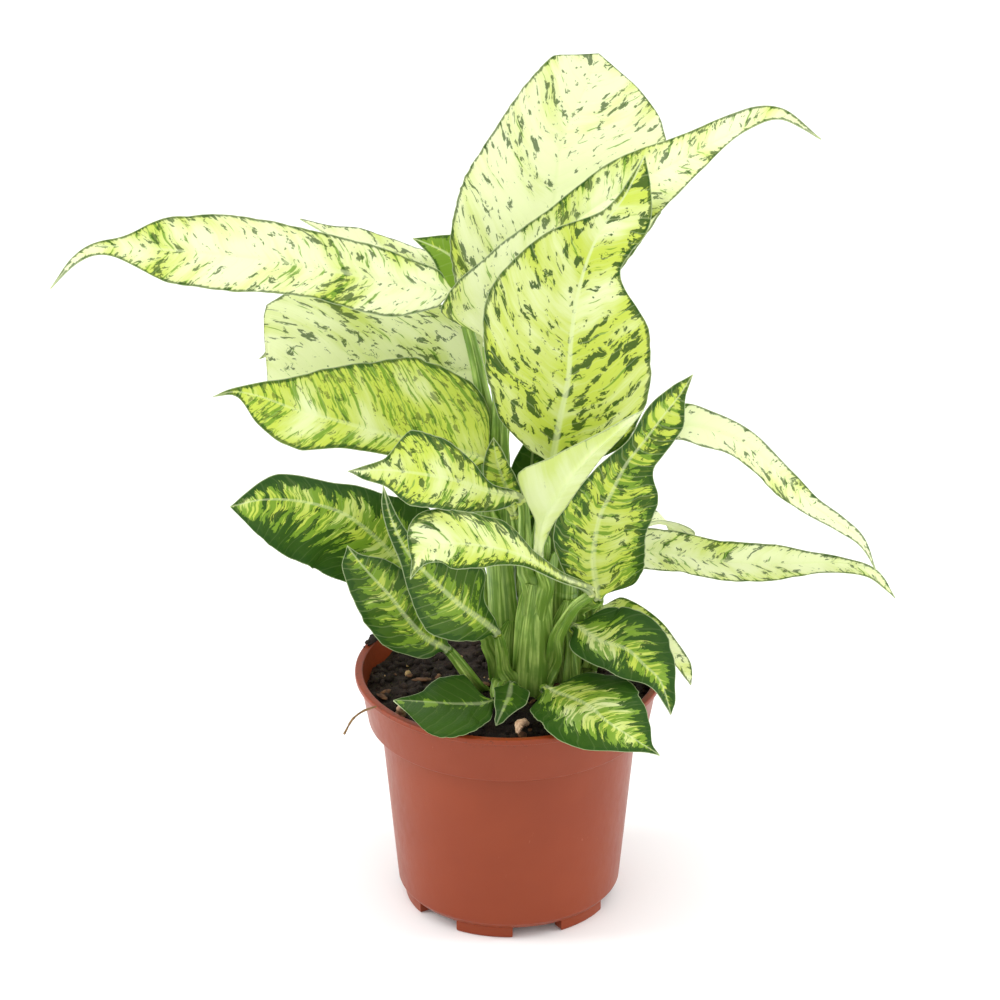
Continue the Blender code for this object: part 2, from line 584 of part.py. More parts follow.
def build_litter(skins, group):
    """Small loose things on the compost and the rim."""
    build_tube("root_fibre", [(-51, -33, 98), (-56, -36, 97.5), (-60, -40, 96), (-63, -46, 93)],
               [0.5, 0.5, 0.45, 0.3], skins["dry"], group, 6)
    build_tube("dry_sheath", [(5, -36, 92.5), (5, -41, 95), (4, -46, 97), (3, -50, 95.5)],
               [1.2, 2.4, 2.0, 0.7], skins["dry"], group, 8)
    build_tube("dry_hook", [(-41, -29, 92), (-42, -31, 96), (-40, -33, 99.5), (-37, -34, 98.5)],
               [1.4, 1.3, 1.1, 0.6], skins["dry"], group, 8)


def centre_on_origin():
    """Shifts every object so that the plant's plan centre is over the origin."""
    bpy.context.view_layer.update()
    graph = bpy.context.evaluated_depsgraph_get()
    low = Vector((1e9, 1e9, 1e9))
    high = -low
    for obj in bpy.data.objects:
        if obj.hide_render or obj.type != "MESH":
            continue
        for corner in obj.evaluated_get(graph).bound_box:
            p = obj.matrix_world @ Vector(corner)
            low = Vector(map(min, low, p))
            high = Vector(map(max, high, p))
    middle = (low + high) / 2
    for obj in bpy.data.objects:
        obj.location -= Vector((middle.x, middle.y, low.z))


def main():
    clear_scene()
    plant = collection("potted_dieffenbachia")
    helpers = collection("cutters", shown=False)
    skins = {
        "pot": material("pot_plastic", (0.42, 0.13, 0.07), 0.4),
        "soil": material("compost", (0.015, 0.01, 0.007), 0.95),
        "cane": material("cane_green", (0.2, 0.38, 0.07), 0.45),
        "pale": material("leaf_pale", (0.72, 0.85, 0.38), 0.4),
        "mid": material("leaf_mid", (0.4, 0.62, 0.1), 0.4),
        "dark": material("leaf_dark", (0.08, 0.22, 0.04), 0.4),
        "dry": material("dry_matter", (0.35, 0.22, 0.12), 0.85),
    }
    build_pot(skins["pot"], plant, helpers)
    build_soil(skins["soil"], plant, helpers)
    for name in CANES:
        build_cane(name, skins["cane"], plant)
    for name, shape in LEAVES.items():
        build_leaf(name, shape, skins, plant)
    build_litter(skins, plant)
    centre_on_origin()


main()
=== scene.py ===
"""Potted dieffenbachia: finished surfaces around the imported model.

Plant dimensions in the tables are millimetres from the pot's axis and the floor; the pot's
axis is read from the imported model. Objects are made in metres.
"""

import math
import random
from functools import partial

import bmesh
import bpy
import numpy as np
from bpy.props import FloatProperty, FloatVectorProperty, PointerProperty
from mathutils import Matrix, Vector, noise


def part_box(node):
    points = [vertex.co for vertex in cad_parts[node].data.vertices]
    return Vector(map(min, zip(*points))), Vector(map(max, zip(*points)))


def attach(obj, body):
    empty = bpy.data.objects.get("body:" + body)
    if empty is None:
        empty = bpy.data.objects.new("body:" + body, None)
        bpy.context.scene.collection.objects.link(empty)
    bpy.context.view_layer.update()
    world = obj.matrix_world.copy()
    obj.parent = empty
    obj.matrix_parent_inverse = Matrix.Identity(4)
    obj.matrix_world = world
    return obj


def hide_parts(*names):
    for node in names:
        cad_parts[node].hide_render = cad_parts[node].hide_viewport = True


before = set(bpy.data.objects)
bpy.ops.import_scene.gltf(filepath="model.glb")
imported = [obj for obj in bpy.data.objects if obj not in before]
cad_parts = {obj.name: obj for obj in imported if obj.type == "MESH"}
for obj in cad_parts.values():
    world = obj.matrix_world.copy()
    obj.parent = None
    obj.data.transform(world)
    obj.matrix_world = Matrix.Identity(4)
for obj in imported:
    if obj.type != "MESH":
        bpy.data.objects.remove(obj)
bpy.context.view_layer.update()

bl_info = {
    "name": "Potted dieffenbachia",
    "version": (1, 0, 0),
    "blender": (4, 5, 0),
    "location": "3D View > Sidebar > Dieffenbachia",
    "description": "Leaves, stems, compost, nursery pot and a plain studio around the frame",
    "category": "Object",
}

MM = 0.001
GAP = 0.3
SPAN_STEPS = 40
FLOOR_HALF = 6.0
AIM_SHIFT = -0.0035

# Pot
POT_LOW, POT_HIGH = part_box("pot")
AXIS = (POT_LOW + POT_HIGH) / 2 * 1000
POT_HEIGHT = POT_HIGH.z * 1000
LIP_RADIUS = (POT_HIGH.x - POT_LOW.x) * 500
LIP_THICK = 2.3
COLLAR_TOP_RADIUS = 58.2
COLLAR_FOOT_RADIUS = 54.9
COLLAR_DROP = 20.5
WALL_TOP_RADIUS = 50.2
WALL_FOOT_RADIUS = 43.6
WALL = 1.2
FLOOR_HEIGHT = 4.6
FLOOR_THICK = 1.6
FOOT_RADIUS = 41.0
FOOT_WIDTH = 5.0
FOOT_ARC = 32.0
FOOT_COUNT = 6
FOOT_TURN = -104.0
DRAIN_RADIUS = 4.0
DRAIN_RING = 30.0

# Compost
SOIL_EDGE = 89.0
SOIL_CROWN = 91.5

STATIONS = (0.05, 0.18, 0.35, 0.52, 0.68, 0.82, 0.93)
CANE_FOOT = 82.0
# name, foot x y, tip x y z, foot and tip radius
CANES = {
    "cane_left": ((-1, 6), (-5, 6, 190), 5.8, 3.8),
    "cane_front": ((9, -4), (12, -8, 160), 6.2, 4.2),
    "cane_right": ((21, 3), (22, 4, 150), 5.6, 4.2),
    "cane_rear": ((28, 14), (30, 17, 128), 4.6, 3.4),
}
# name, cane, low and high end, facing direction and half spread in degrees, flare in mm
SHEATHS = (
    ("sheath_front_outer", "cane_front", 86, 140, -100, 95, 1.5),
    ("sheath_front_inner", "cane_front", 100, 152, -30, 80, 1.0),
    ("sheath_left_outer", "cane_left", 87, 118, -60, 100, 1.2),
    ("sheath_left_inner", "cane_left", 112, 170, -120, 80, 0.8),
    ("sheath_right_outer", "cane_right", 86, 128, -70, 95, 1.6),
    ("sheath_rear_outer", "cane_rear", 87, 116, 60, 95, 1.2),
)


def leaf(skin, stalk, rib, face, left, right, fold=(12, 12), curl=(4, 4), wave=(1, 2.2, 0.3)):
    """One leaf. Points run from the stalk's foot to the blade's tip; face is the upper side's
    direction at the blade's foot, middle and tip; left and right are half-widths at STATIONS
    as seen from above with the tip ahead; fold and curl are degrees, on the left and the right;
    wave is the margin's ripple height, how many waves, and where they start."""
    return dict(skin=skin, stalk=stalk, rib=rib, face=face, left=left, right=right,
                fold=fold, curl=curl, wave=wave)


LEAVES = {
    "leaf_top_rear": leaf(
        "pale", [(20, 6, 150.8), (16, 9, 195)],
        [(13, 12, 234), (14, 18, 252), (15, 24, 268), (17, 30, 282), (19, 36, 298), (23, 42, 310),
         (29, 48, 321), (34, 54, 332)],
        [(0, -1, 0.1), (0, -0.95, 0.3), (0, -0.8, 0.6)],
        (27, 36, 38, 35, 25, 20, 16), (20, 25, 35, 42, 41, 38, 20),
        (8, 8), (6, 6), (1.2, 2.5, 0.1)),
    "leaf_top_right": leaf(
        "pale", [(-3.2, 2.2, 190.8), (-4, -2, 214)],
        [(-8, -6, 239), (1, -6, 264), (21, -4, 284), (41, -4, 299), (63, -5, 312), (85, -7, 325),
         (100, -9, 331), (115, -11, 323)],
        [(-0.15, -0.95, 0.3), (-0.3, -0.6, 0.7), (0, -0.4, 0.9)],
        (20, 13, 10, 12, 9, 7, 2), (10, 14, 18, 20, 11, 2, 1.5),
        (8, 8), (6, 6), (0.6, 2.2, 0.3)),
    "leaf_top_front": leaf(
        "pale", [(12, -8, 160.8), (14, -12, 176)],
        [(16, -14, 191), (19, -18, 212), (22, -21, 230), (23, -23, 247), (25, -24, 264),
         (29, -23, 280), (35, -21, 293), (43, -18, 304), (50, -12, 317)],
        [(0, -1, 0.2), (0, -0.97, 0.2), (-0.1, -0.9, 0.4)],
        (10, 25, 32, 34, 21, 3, 1.5), (15, 28, 31, 28, 13, 15, 7),
        (8, 8), (4, 4), (0.6, 2.4, 0.6)),
    "leaf_left_upper": leaf(
        "pale", [(-7.6, 4.5, 190.8), (-10, 4, 212), (-15, 6, 236)],
        [(-21, 5, 253), (-41, 1, 260), (-67, -3, 267), (-93, -6, 273), (-119, -9, 277),
         (-139, -12, 280), (-152, -14, 281), (-161, -16, 277), (-171, -18, 266)],
        [(0, -0.6, 0.8), (0, -0.6, 0.8), (-0.2, -0.5, 0.8)],
        (9, 16, 14, 16, 15, 5, 1.5), (8, 12, 14, 16, 13, 3, 1.5),
        (6, 10), (-4, 6), (0.6, 2.5, 0.2)),
    "leaf_left_broad": leaf(
        "pale", [(-3, 7.5, 190.8), (-2, 12, 204)],
        [(-6, 12, 217), (-26, 11, 219), (-49, 10, 218), (-68, 9, 217), (-83, 8, 216), (-92, 8, 214)],
        [(0, -0.9, 0.4), (0, -0.9, 0.4), (0, -0.9, 0.4)],
        (8, 12, 12, 12, 12, 12, 11), (20, 25, 28, 31, 34, 35, 31),
        (8, 8), (4, 4), (0.8, 2.2, 0.4)),
    "leaf_left_mottled": leaf(
        "mid", [(-8, 0, 166), (-8, -2, 178)],
        [(-8, -4, 188), (-17, -6, 193), (-30, -9, 198), (-45, -12, 203), (-60, -15, 209),
         (-79, -18, 216), (-93, -21, 223), (-103, -23, 226), (-111, -25, 225)],
        [(0, -0.85, 0.5), (0, -0.85, 0.5), (-0.1, -0.8, 0.6)],
        (6, 8, 8, 10, 15, 11, 1.5), (17, 28, 31, 24, 16, 7, 1.5),
        (10, 10), (0, 4), (0.8, 2.3, 0.7)),
    "leaf_left_small": leaf(
        "pale", [(6, -12, 147), (6, -16, 165)],
        [(4, -20, 180), (-7, -26, 186), (-20, -33, 194), (-33, -40, 200), (-46, -45, 204),
         (-60, -50, 206)],
        [(0, -0.75, 0.65), (0, -0.75, 0.65), (0, -0.75, 0.65)],
        (4, 8, 12, 14, 14, 7, 4), (2, 3, 9, 15, 16, 4, 1.5),
        (12, 10), (0, 4), (0.5, 2, 0.2)),
    "leaf_left_dark": leaf(
        "dark", [(-9, 0, 112), (-17, -3, 122)],
        [(-27, -6, 130), (-42, -11, 149), (-53, -16, 164), (-64, -21, 175), (-79, -26, 182),
         (-93, -31, 185), (-105, -35, 184)],
        [(-0.1, -0.93, 0.35), (-0.1, -0.93, 0.35), (-0.2, -0.9, 0.4)],
        (10, 14, 21, 24, 23, 20, 13), (13, 19, 24, 15, 10, 10, 4),
        (8, 10), (0, 4), (0.8, 2.2, 0.5)),
    "leaf_left_low": leaf(
        "mid", [(-13, -8, 94), (-18, -12, 104)],
        [(-24, -16, 114), (-32, -22, 122), (-39, -27, 133), (-45, -31, 144), (-51, -34, 153),
         (-56, -37, 161), (-61, -38, 169)],
        [(-0.2, -0.85, 0.5), (-0.2, -0.85, 0.5), (-0.2, -0.85, 0.5)],
        (4, 9, 14, 14, 12, 9, 6), (6, 9, 11, 11, 11, 9, 2),
        (8, 10), (0, 4), (0.5, 2, 0.1)),
    "leaf_low_oblique": leaf(
        "mid", [(-2, -7, 101), (-3, -12, 112)],
        [(-5, -18, 122), (-11, -26, 132), (-19, -33, 142), (-29, -40, 156), (-38, -46, 170),
         (-44, -50, 186), (-47, -52, 201)],
        [(0, -0.85, 0.5), (0, -0.85, 0.5), (0, -0.85, 0.5)],
        (5, 11, 16, 11, 4, 3, 2), (3, 6, 16, 8, 5, 3, 1.5),
        (8, 10), (0, 4), (0.5, 2, 0.3)),
    "leaf_low_pale": leaf(
        "pale", [(17.5, -7, 104), (19, -14, 119), (25, -22, 135)],
        [(31, -26, 144), (19, -34, 154), (4, -42, 167), (-11, -50, 175), (-26, -57, 179),
         (-33, -61, 177), (-37, -64, 168)],
        [(0, -0.6, 0.8), (0, -0.6, 0.8), (-0.5, -0.6, 0.6)],
        (2, 2.5, 4, 8, 12, 13, 4), (2, 2.5, 4, 12, 13, 14, 2),
        (14, 10), (0, 4), (0.6, 2, 0.2)),
    "leaf_front_young": leaf(
        "pale", [(14, -14.5, 142), (12, -22, 152)],
        [(11, -30, 162), (13, -35, 178), (19, -38, 191), (28, -40, 205), (39, -41, 217),
         (50, -41, 227)],
        [(0.2, 0.9, 0.1), (0.2, 0.9, 0.2), (0.2, 0.9, 0.3)],
        (2, 4, 6, 6, 5, 4, 2), (2, 3, 17, 11, 6, 3, 1.5),
        (20, 10), (10, 4), (0.5, 2, 0.2)),
    "leaf_right_upright": leaf(
        "mid", [(27, -1, 124), (31, -9, 130)],
        [(34, -16, 136), (32, -21, 155), (34, -25, 174), (39, -27, 187), (44, -27, 198),
         (51, -25, 207), (58, -22, 216), (64, -19, 223), (69, -16, 230)],
        [(0.1, -1, 0.2), (0.1, -1, 0.1), (0.1, -1, 0.1)],
        (5, 13, 18, 13, 6, 8, 5), (14, 20, 19, 18, 9, 9, 2),
        (14, 14), (6, 6), (0.5, 2.2, 0.3)),
    "leaf_right_arching": leaf(
        "pale", [(25, 3, 153.5), (40, 8, 175)],
        [(58, 10, 191), (67, 9, 197), (77, 8, 196), (88, 7, 192), (98, 5, 185), (108, 3, 176),
         (117, 1, 167), (127, -2, 161), (135, -5, 155), (141, -8, 144)],
        [(0, -0.5, 1), (0.4, -0.5, 0.8), (0.8, -0.4, 0.6)],
        (10, 8, 6, 4, 4, 3, 1.5), (5, 11, 11, 12, 8, 6, 2),
        (10, 10), (6, 6), (0.5, 2.4, 0.1)),
    "leaf_right_level": leaf(
        "pale", [(35, 13, 124), (43, 13, 134)],
        [(43, 15, 142), (57, 11, 142.5), (68, 9, 142), (82, 6, 141), (97, 4, 141), (112, 2, 142),
         (128, 0, 143), (140, -3, 141), (149, -6, 131)],
        [(0, -0.3, 1), (0, -0.3, 1), (0.4, -0.3, 1)],
        (10, 11, 9, 9, 5, 2, 1.5), (12, 15, 15, 14, 10, 8, 4),
        (12, 12), (4, 4), (0.6, 2.3, 0.3)),
    "leaf_right_rear": leaf(
        "pale", [(30, 17.5, 131.5), (33, 22, 136)],
        [(40, 27, 139), (50, 31, 143), (59, 35, 144), (66, 39, 138), (69, 43, 125)],
        [(-0.2, 0.3, 1), (0, 0.2, 1), (0.3, 0.2, 1)],
        (6, 9, 10, 10, 8, 6, 3), (5, 8, 9, 9, 8, 5, 3),
        (12, 12), (6, 6), (1, 2, 0.3)),
    "leaf_low_right": leaf(
        "dark", [(24, -5.5, 94), (24, -4, 107)],
        [(25, -6, 118.5), (35, -15, 117), (45, -20, 116), (52, -26, 112), (58, -32, 108),
         (62, -38, 97)],
        [(-0.1, -0.5, 0.9), (0.2, -0.6, 0.8), (0.5, -0.6, 0.5)],
        (8, 15, 16, 15, 11, 5, 3), (6, 12, 14, 15, 11, 5, 2),
        (12, 12), (6, 6), (0.6, 2, 0.3)),
    "leaf_low_right_rear": leaf(
        "pale", [(32, 7.5, 96), (33, 10, 107)],
        [(35, 12, 116), (45, 10, 115), (55, 7, 110), (64, 3, 102), (71, -2, 91)],
        [(0.1, -0.3, 1), (0.4, -0.4, 0.8), (0.7, -0.4, 0.4)],
        (6, 8, 7, 6, 5, 5, 3), (6, 10, 11, 9, 6, 4, 2),
        (12, 12), (6, 6), (0.5, 2, 0.3)),
    "leaf_basal_left": leaf(
        "dark", [(-4, -9, 94.5), (-5, -18, 96)],
        [(-6, -27, 96.5), (-19, -33, 99), (-30, -39, 103), (-44, -45, 107)],
        [(0, -0.1, 1), (0, -0.1, 1), (0, -0.1, 1)],
        (8, 14, 20, 25, 29, 30, 26), (14, 17, 16, 12, 6, 3, 1.5),
        (6, 8), (-4, 4), (0.4, 2, 0.3)),
    "leaf_basal_mid": leaf(
        "dark", [(3, -13, 94), (2, -16, 97)],
        [(1, -19, 100), (0, -27, 99.5), (-2, -35, 98.5), (-5, -42, 94.5)],
        [(0, -0.3, 1), (0, -0.7, 1), (0, -0.9, 0.6)],
        (6, 8, 8, 8, 5, 3, 2), (6, 7, 6, 5, 4, 2, 1.5),
        (10, 10), (4, 4), (0.3, 2, 0.3)),
    "leaf_basal_right": leaf(
        "dark", [(15, -14, 94.5), (15, -17, 97)],
        [(14, -21, 99), (23, -30, 100.5), (31, -40, 101.5), (36, -48, 100.5), (44, -55, 98),
         (57, -63, 93)],
        [(0, -0.2, 1), (0, -0.3, 1), (0.2, -0.3, 1)],
        (5, 16, 19, 18, 16, 10, 2), (12, 19, 22, 23, 20, 11, 3),
        (10, 10), (-4, -4), (0.6, 2, 0.3)),
    "leaf_centre_young": leaf(
        "mid", [(5.4, -3.4, 150), (3.5, -3, 159)],
        [(2, -4, 166), (0, -5, 175), (-3, -7, 184), (-5, -8, 192), (-6, -8, 200)],
        [(-0.2, -1, 0.2), (-0.2, -1, 0.2), (-0.2, -1, 0.2)],
        (4, 6, 7, 7, 6, 4, 2), (3, 5, 6, 6, 5, 4, 2),
        (16, 16), (4, 4), (0.4, 2, 0.3)),
    "leaf_centre_dark": leaf(
        "dark", [(1.8, 12.5, 125.5), (3, 14.2, 131)],
        [(4, 15, 138), (6, 16, 152), (8, 16, 168), (9, 16.5, 182), (10, 17, 194)],
        [(0, -1, 0.1), (0, -1, 0.1), (0, -1, 0.2)],
        (4, 7, 9, 9, 8, 5, 2), (4, 7, 9, 9, 8, 5, 2),
        (10, 10), (4, 4), (0.5, 2, 0.3)),
    "leaf_rear_left": leaf(
        "mid", [(-9, 12, 118), (-16, 20, 150)],
        [(-22, 30, 172), (-38, 42, 192), (-60, 54, 206), (-82, 62, 208), (-98, 66, 200)],
        [(0.2, 0.3, 1), (0, 0.4, 1), (-0.3, 0.3, 1)],
        (12, 21, 27, 27, 22, 14, 6), (12, 21, 27, 27, 22, 14, 6),
        (10, 10), (2, 2), (1.5, 2.2, 0.3)),
    "leaf_rear_high": leaf(
        "pale", [(-10.5, 9, 160), (-14, 18, 200)],
        [(-18, 31, 232), (-30, 38, 246), (-50, 43, 254), (-66, 45, 260), (-80, 45, 268)],
        [(0.3, 0.2, 1), (0.2, 0.1, 1), (0.1, 0, 1)],
        (8, 15, 18, 17, 12, 7, 3), (8, 15, 18, 17, 12, 7, 3),
        (10, 10), (2, 2), (1, 2.2, 0.3)),
    "leaf_rear_small": leaf(
        "mid", [(15.5, 9, 140), (17, 24, 165), (10, 29, 200)],
        [(0, 36, 230), (-12, 40, 245), (-24, 44, 254), (-37, 47, 259)],
        [(-0.3, -0.5, 0.8), (-0.3, -0.5, 0.8), (-0.3, -0.5, 0.8)],
        (7, 13, 15, 13, 9, 5, 2), (7, 13, 15, 13, 9, 5, 2),
        (12, 12), (2, 2), (1, 2.2, 0.3)),
    "leaf_rear_right": leaf(
        "mid", [(31.5, 21.5, 100), (31, 31, 111)],
        [(32, 40, 117), (38, 54, 121), (44, 67, 115), (47, 77, 103)],
        [(0.2, 0.2, 1), (0.2, 0.3, 1), (0.4, 0.3, 0.8)],
        (8, 14, 16, 14, 10, 6, 3), (8, 14, 16, 14, 10, 6, 3),
        (10, 10), (4, 4), (1.2, 2.2, 0.3)),
}

# The upper side's pattern of each leaf. lime is how far the ground leans from cream to
# yellow-green; mid and dark give a green's (threshold, gain towards the margin, gain of the
# large patches); hold is how long the centre stays clear; size is flecks to the millimetre
# across, along and between leaves; rim is the green margin's width in mm; rib and veins are
# how pale the midrib and the side veins are.
PATTERNS = {
    "cream": dict(lime=0.05, mid=(0.67, 0.02, 0.2), dark=(0.608, 0.04, 0.28), hold=2.0,
                  depth=0.8, size=(0.27, 0.26, 0.4), rim=0.8, rib=0.3, veins=0.1),
    "edged": dict(lime=0.6, mid=(0.6, 0.1, 0.15), dark=(0.6, 0.13, 0.15), hold=2.0,
                  depth=0.85, size=(0.2, 0.26, 0.4), rim=1.5, rib=0.4, veins=0.12),
    "flecked": dict(lime=0.26, mid=(0.63, 0.03, 0.3), dark=(0.6, 0.05, 0.25), hold=2.0,
                    depth=0.8, size=(0.25, 0.27, 0.4), rim=0.8, rib=0.4, veins=0.12),
    "blotched": dict(lime=0.66, mid=(0.66, 0.06, 0.2), dark=(0.58, 0.07, 0.25), hold=3.0,
                     depth=0.9, size=(0.2, 0.19, 0.4), rim=1.2, rib=0.75, veins=0.22),
    "mottled": dict(lime=0.8, mid=(0.56, 0.05, 0.2), dark=(0.595, 0.06, 0.2), hold=2.5,
                    depth=0.6, size=(0.3, 0.33, 0.4), rim=1.2, rib=0.35, veins=0.12),
    "upright": dict(lime=1.0, mid=(0.53, 0.1, 0.3), dark=(0.56, 0.13, 0.3), hold=2.5,
                    depth=0.85, size=(0.2, 0.24, 0.4), rim=1.8, rib=0.5, veins=0.2),
    "banded": dict(lime=1.0, mid=(0.48, 0.25, 0.25), dark=(0.57, 0.28, 0.3), hold=1.4,
                   depth=0.8, size=(0.16, 0.26, 0.4), rim=2.0, rib=0.45, veins=0.15),
    "feathered": dict(lime=0.8, mid=(0.5, 0.3, 0.25), dark=(0.6, 0.42, 0.3), hold=2.0,
                      depth=0.93, size=(0.12, 0.28, 0.4), rim=2.4, rib=0.4, veins=0.05),
    "green": dict(lime=0.9, mid=(0.3, 0.3, 0.1), dark=(0.5, 0.4, 0.3), hold=1.0,
                  depth=0.9, size=(0.08, 0.2, 0.4), rim=2.0, rib=0.3, veins=0.05),
    "bright": dict(lime=1.0, mid=(0.46, 0.3, 0.3), dark=(0.7, 0.1, 0.3), hold=1.0,
                   depth=0.8, size=(0.08, 0.2, 0.4), rim=1.0, rib=0.6, veins=0.1),
    "bare": dict(lime=0.4, mid=(0.72, 0.03, 0.3), dark=(0.7, 0.03, 0.3), hold=2.0, depth=0.4,
                 size=(0.16, 0.24, 0.4), rim=0.4, rib=0.4, veins=0.1),
}
LEAF_PATTERN = {
    "leaf_top_rear": "cream", "leaf_top_right": "flecked", "leaf_top_front": "blotched",
    "leaf_left_upper": "flecked", "leaf_left_broad": "cream", "leaf_left_mottled": "mottled",
    "leaf_left_small": "edged", "leaf_left_dark": "feathered", "leaf_left_low": "banded",
    "leaf_low_oblique": "banded", "leaf_low_pale": "edged", "leaf_front_young": "bare",
    "leaf_right_upright": "upright", "leaf_right_arching": "cream",
    "leaf_right_level": "flecked", "leaf_right_rear": "flecked", "leaf_low_right": "feathered",
    "leaf_low_right_rear": "flecked", "leaf_basal_left": "green", "leaf_basal_mid": "green",
    "leaf_basal_right": "feathered", "leaf_rear_left": "mottled", "leaf_rear_high": "cream",
    "leaf_rear_small": "bright", "leaf_rear_right": "banded",
    "leaf_centre_young": "mottled", "leaf_centre_dark": "green",
}


# Sizes and colours


def linear(code):
    """An sRGB hex colour as linear red, green and blue."""
    values = [int(code[i:i + 2], 16) / 255 for i in (1, 3, 5)]
    return [v / 12.92 if v <= 0.04045 else ((v + 0.055) / 1.055) ** 2.4 for v in values]


def colour(name, description, code):
    return FloatVectorProperty(name=name, description=description, default=linear(code),
                               subtype="COLOR", min=0, max=1)


def length(name, description, default, low=0.0, high=0.05):
    return FloatProperty(name=name, description=description, default=default, min=low,
                         max=high, precision=5, unit="LENGTH")


class DIEFF_PG_plant(bpy.types.PropertyGroup):
    """What a user would change on the plant and its pot."""
    blade_thickness: length("Blade thickness", "Leaf blade thickness", 0.00042, 0.0002, 0.001)
    vein_spacing: length("Vein spacing", "Distance between side veins", 0.006, 0.002, 0.015)
    vein_depth: length("Vein depth", "How deep side veins are pressed in", 0.00016, 0, 0.001)
    stalk_scale: FloatProperty(name="Stalk scale", description="Leaf stalk girth, 1 as grown",
                               default=1.3, min=0.5, max=2, subtype="FACTOR")
    cream: colour("Cream", "Palest ground of the leaves", "#F0F5CC")
    lime: colour("Lime", "Yellow-green ground of the leaves", "#D0DE5A")
    mid_green: colour("Mid green", "First green of the mottling", "#6A9A26")
    dark_green: colour("Dark green", "Deep green of flecks and margins", "#2C5414")
    stem_green: colour("Stem green", "Stems and leaf stalks", "#66862D")
    terracotta: colour("Pot", "Pot plastic", "#7F3315")
    compost: colour("Compost", "Damp peat compost", "#17100B")
    dry: colour("Dry matter", "Dead sheaths and roots", "#8A6A4C")


class DIEFF_PG_stage(bpy.types.PropertyGroup):
    """What a user would change in the studio."""
    distance: FloatProperty(name="Camera distance", description="From the aim point",
                            default=2.0, unit="LENGTH", min=0.5, max=10)
    elevation: FloatProperty(name="Camera elevation", description="Angle above the horizon",
                             default=math.radians(25.67), subtype="ANGLE")
    lens: FloatProperty(name="Lens", description="Focal length in mm on a 36 mm sensor",
                        default=187.8, min=10, max=500)
    aim_height: FloatProperty(name="Aim height", description="Height the camera aims at",
                              default=0.17, unit="LENGTH")
    sky: FloatProperty(name="Room light", description="Strength of the white room",
                       default=1.0, min=0, max=10)
    key: FloatProperty(name="Key light", description="Power of the overhead softbox in W",
                       default=10.0, min=0, max=1000)
    floor: colour("Floor", "Studio floor", "#F6F6F6")


# Helpers


def node(tree, kind, inputs, out=0, **settings):
    """Adds one shader node and gives back one of its outputs. Each input is a plain value, a
    colour of three numbers, or the output that feeds it."""
    made = tree.nodes.new("ShaderNode" + kind)
    for key, value in settings.items():
        setattr(made, key, value)
    for key, value in inputs.items():
        socket = made.inputs[key]
        if isinstance(value, bpy.types.NodeSocket):
            tree.links.new(value, socket)
        else:
            socket.default_value = (*value, 1.0) if socket.type == "RGBA" else value
    return made.outputs[out] if made.outputs else None


def new_material(name):
    made = bpy.data.materials.new(name)
    made.use_nodes = True
    made.node_tree.nodes.clear()
    return made, made.node_tree


def metres(points):
    """Points in millimetres from the pot's axis, as metres in the shared frame."""
    return (np.asarray(points, float) + np.array([AXIS.x, AXIS.y, 0.0])) * MM


def circle(count):
    """Evenly spaced angles round a full turn."""
    return 2 * math.pi * np.arange(count) / count


def put_attribute(mesh, name, values):
    made = mesh.attributes.new(name, "FLOAT_VECTOR", "POINT")
    made.data.foreach_set("vector", np.asarray(values, np.float32).ravel())


def add_piece(name, points, faces, skins, nodes=(), sharp=None):
    """A mesh piece that rides on the plant. Points are millimetres from the pot's axis."""
    mesh = bpy.data.meshes.new(name)
    mesh.from_pydata(metres(points), [], faces)
    return dress_piece(name, mesh, skins, nodes, sharp)


def dress_piece(name, mesh, skins, nodes=(), sharp=None):
    for skin in skins:
        mesh.materials.append(skin)
    mesh.shade_smooth()
    if sharp:
        mesh.set_sharp_from_angle(angle=math.radians(sharp))
    obj = bpy.data.objects.new(name, mesh)
    bpy.context.scene.collection.objects.link(obj)
    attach(obj, "root")
    if nodes:
        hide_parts(*nodes)
    return obj


def face_outward(mesh):
    made = bmesh.new()
    made.from_mesh(mesh)
    bmesh.ops.recalc_face_normals(made, faces=made.faces)
    made.to_mesh(mesh)
    made.free()


def unit(v):
    v = np.asarray(v, float)
    return v / np.linalg.norm(v, axis=-1, keepdims=True)


def smooth_line(points):
    """Distance along, and points of, a smooth curve through the given points."""
    p = np.asarray(points, float)
    p = np.vstack([2 * p[0] - p[1], p, 2 * p[-1] - p[-2]])
    u = np.linspace(0, 1, SPAN_STEPS, endpoint=False)[:, None]
    run = []
    for i in range(1, len(p) - 2):
        a, b, c, d = p[i - 1:i + 3]
        bend = (2 * a - 5 * b + 4 * c - d) * u**2 + (3 * b - 3 * c + d - a) * u**3
        run.append(0.5 * (2 * b + (c - a) * u + bend))
    run = np.vstack(run + [p[-2][None]])
    along = np.concatenate([[0], np.cumsum(np.linalg.norm(np.diff(run, axis=0), axis=1))])
    return along, run


def on_line(along, run, q):
    return np.stack([np.interp(q, along, run[:, k]) for k in range(3)], -1)


def gentle(x, y, q):
    """A curve through (x, y) that never overshoots them, read at q."""
    x = np.asarray(x, float)
    y = np.asarray(y, float)
    h = np.diff(x)
    d = np.diff(y) / h
    m = np.concatenate([[d[0]], np.zeros(len(x) - 2), [d[-1]]])
    for i in range(1, len(x) - 1):
        if d[i - 1] * d[i] > 0:
            m[i] = 2 * d[i - 1] * d[i] / (d[i - 1] + d[i])
    k = np.clip(np.searchsorted(x, q, side="right") - 1, 0, len(h) - 1)
    u = (q - x[k]) / h[k]
    start = y[k] * (1 + 2 * u) * (1 - u) ** 2 + h[k] * m[k] * u * (1 - u) ** 2
    end = y[k + 1] * u * u * (3 - 2 * u) - h[k] * m[k + 1] * u * u * (1 - u)
    return start + end


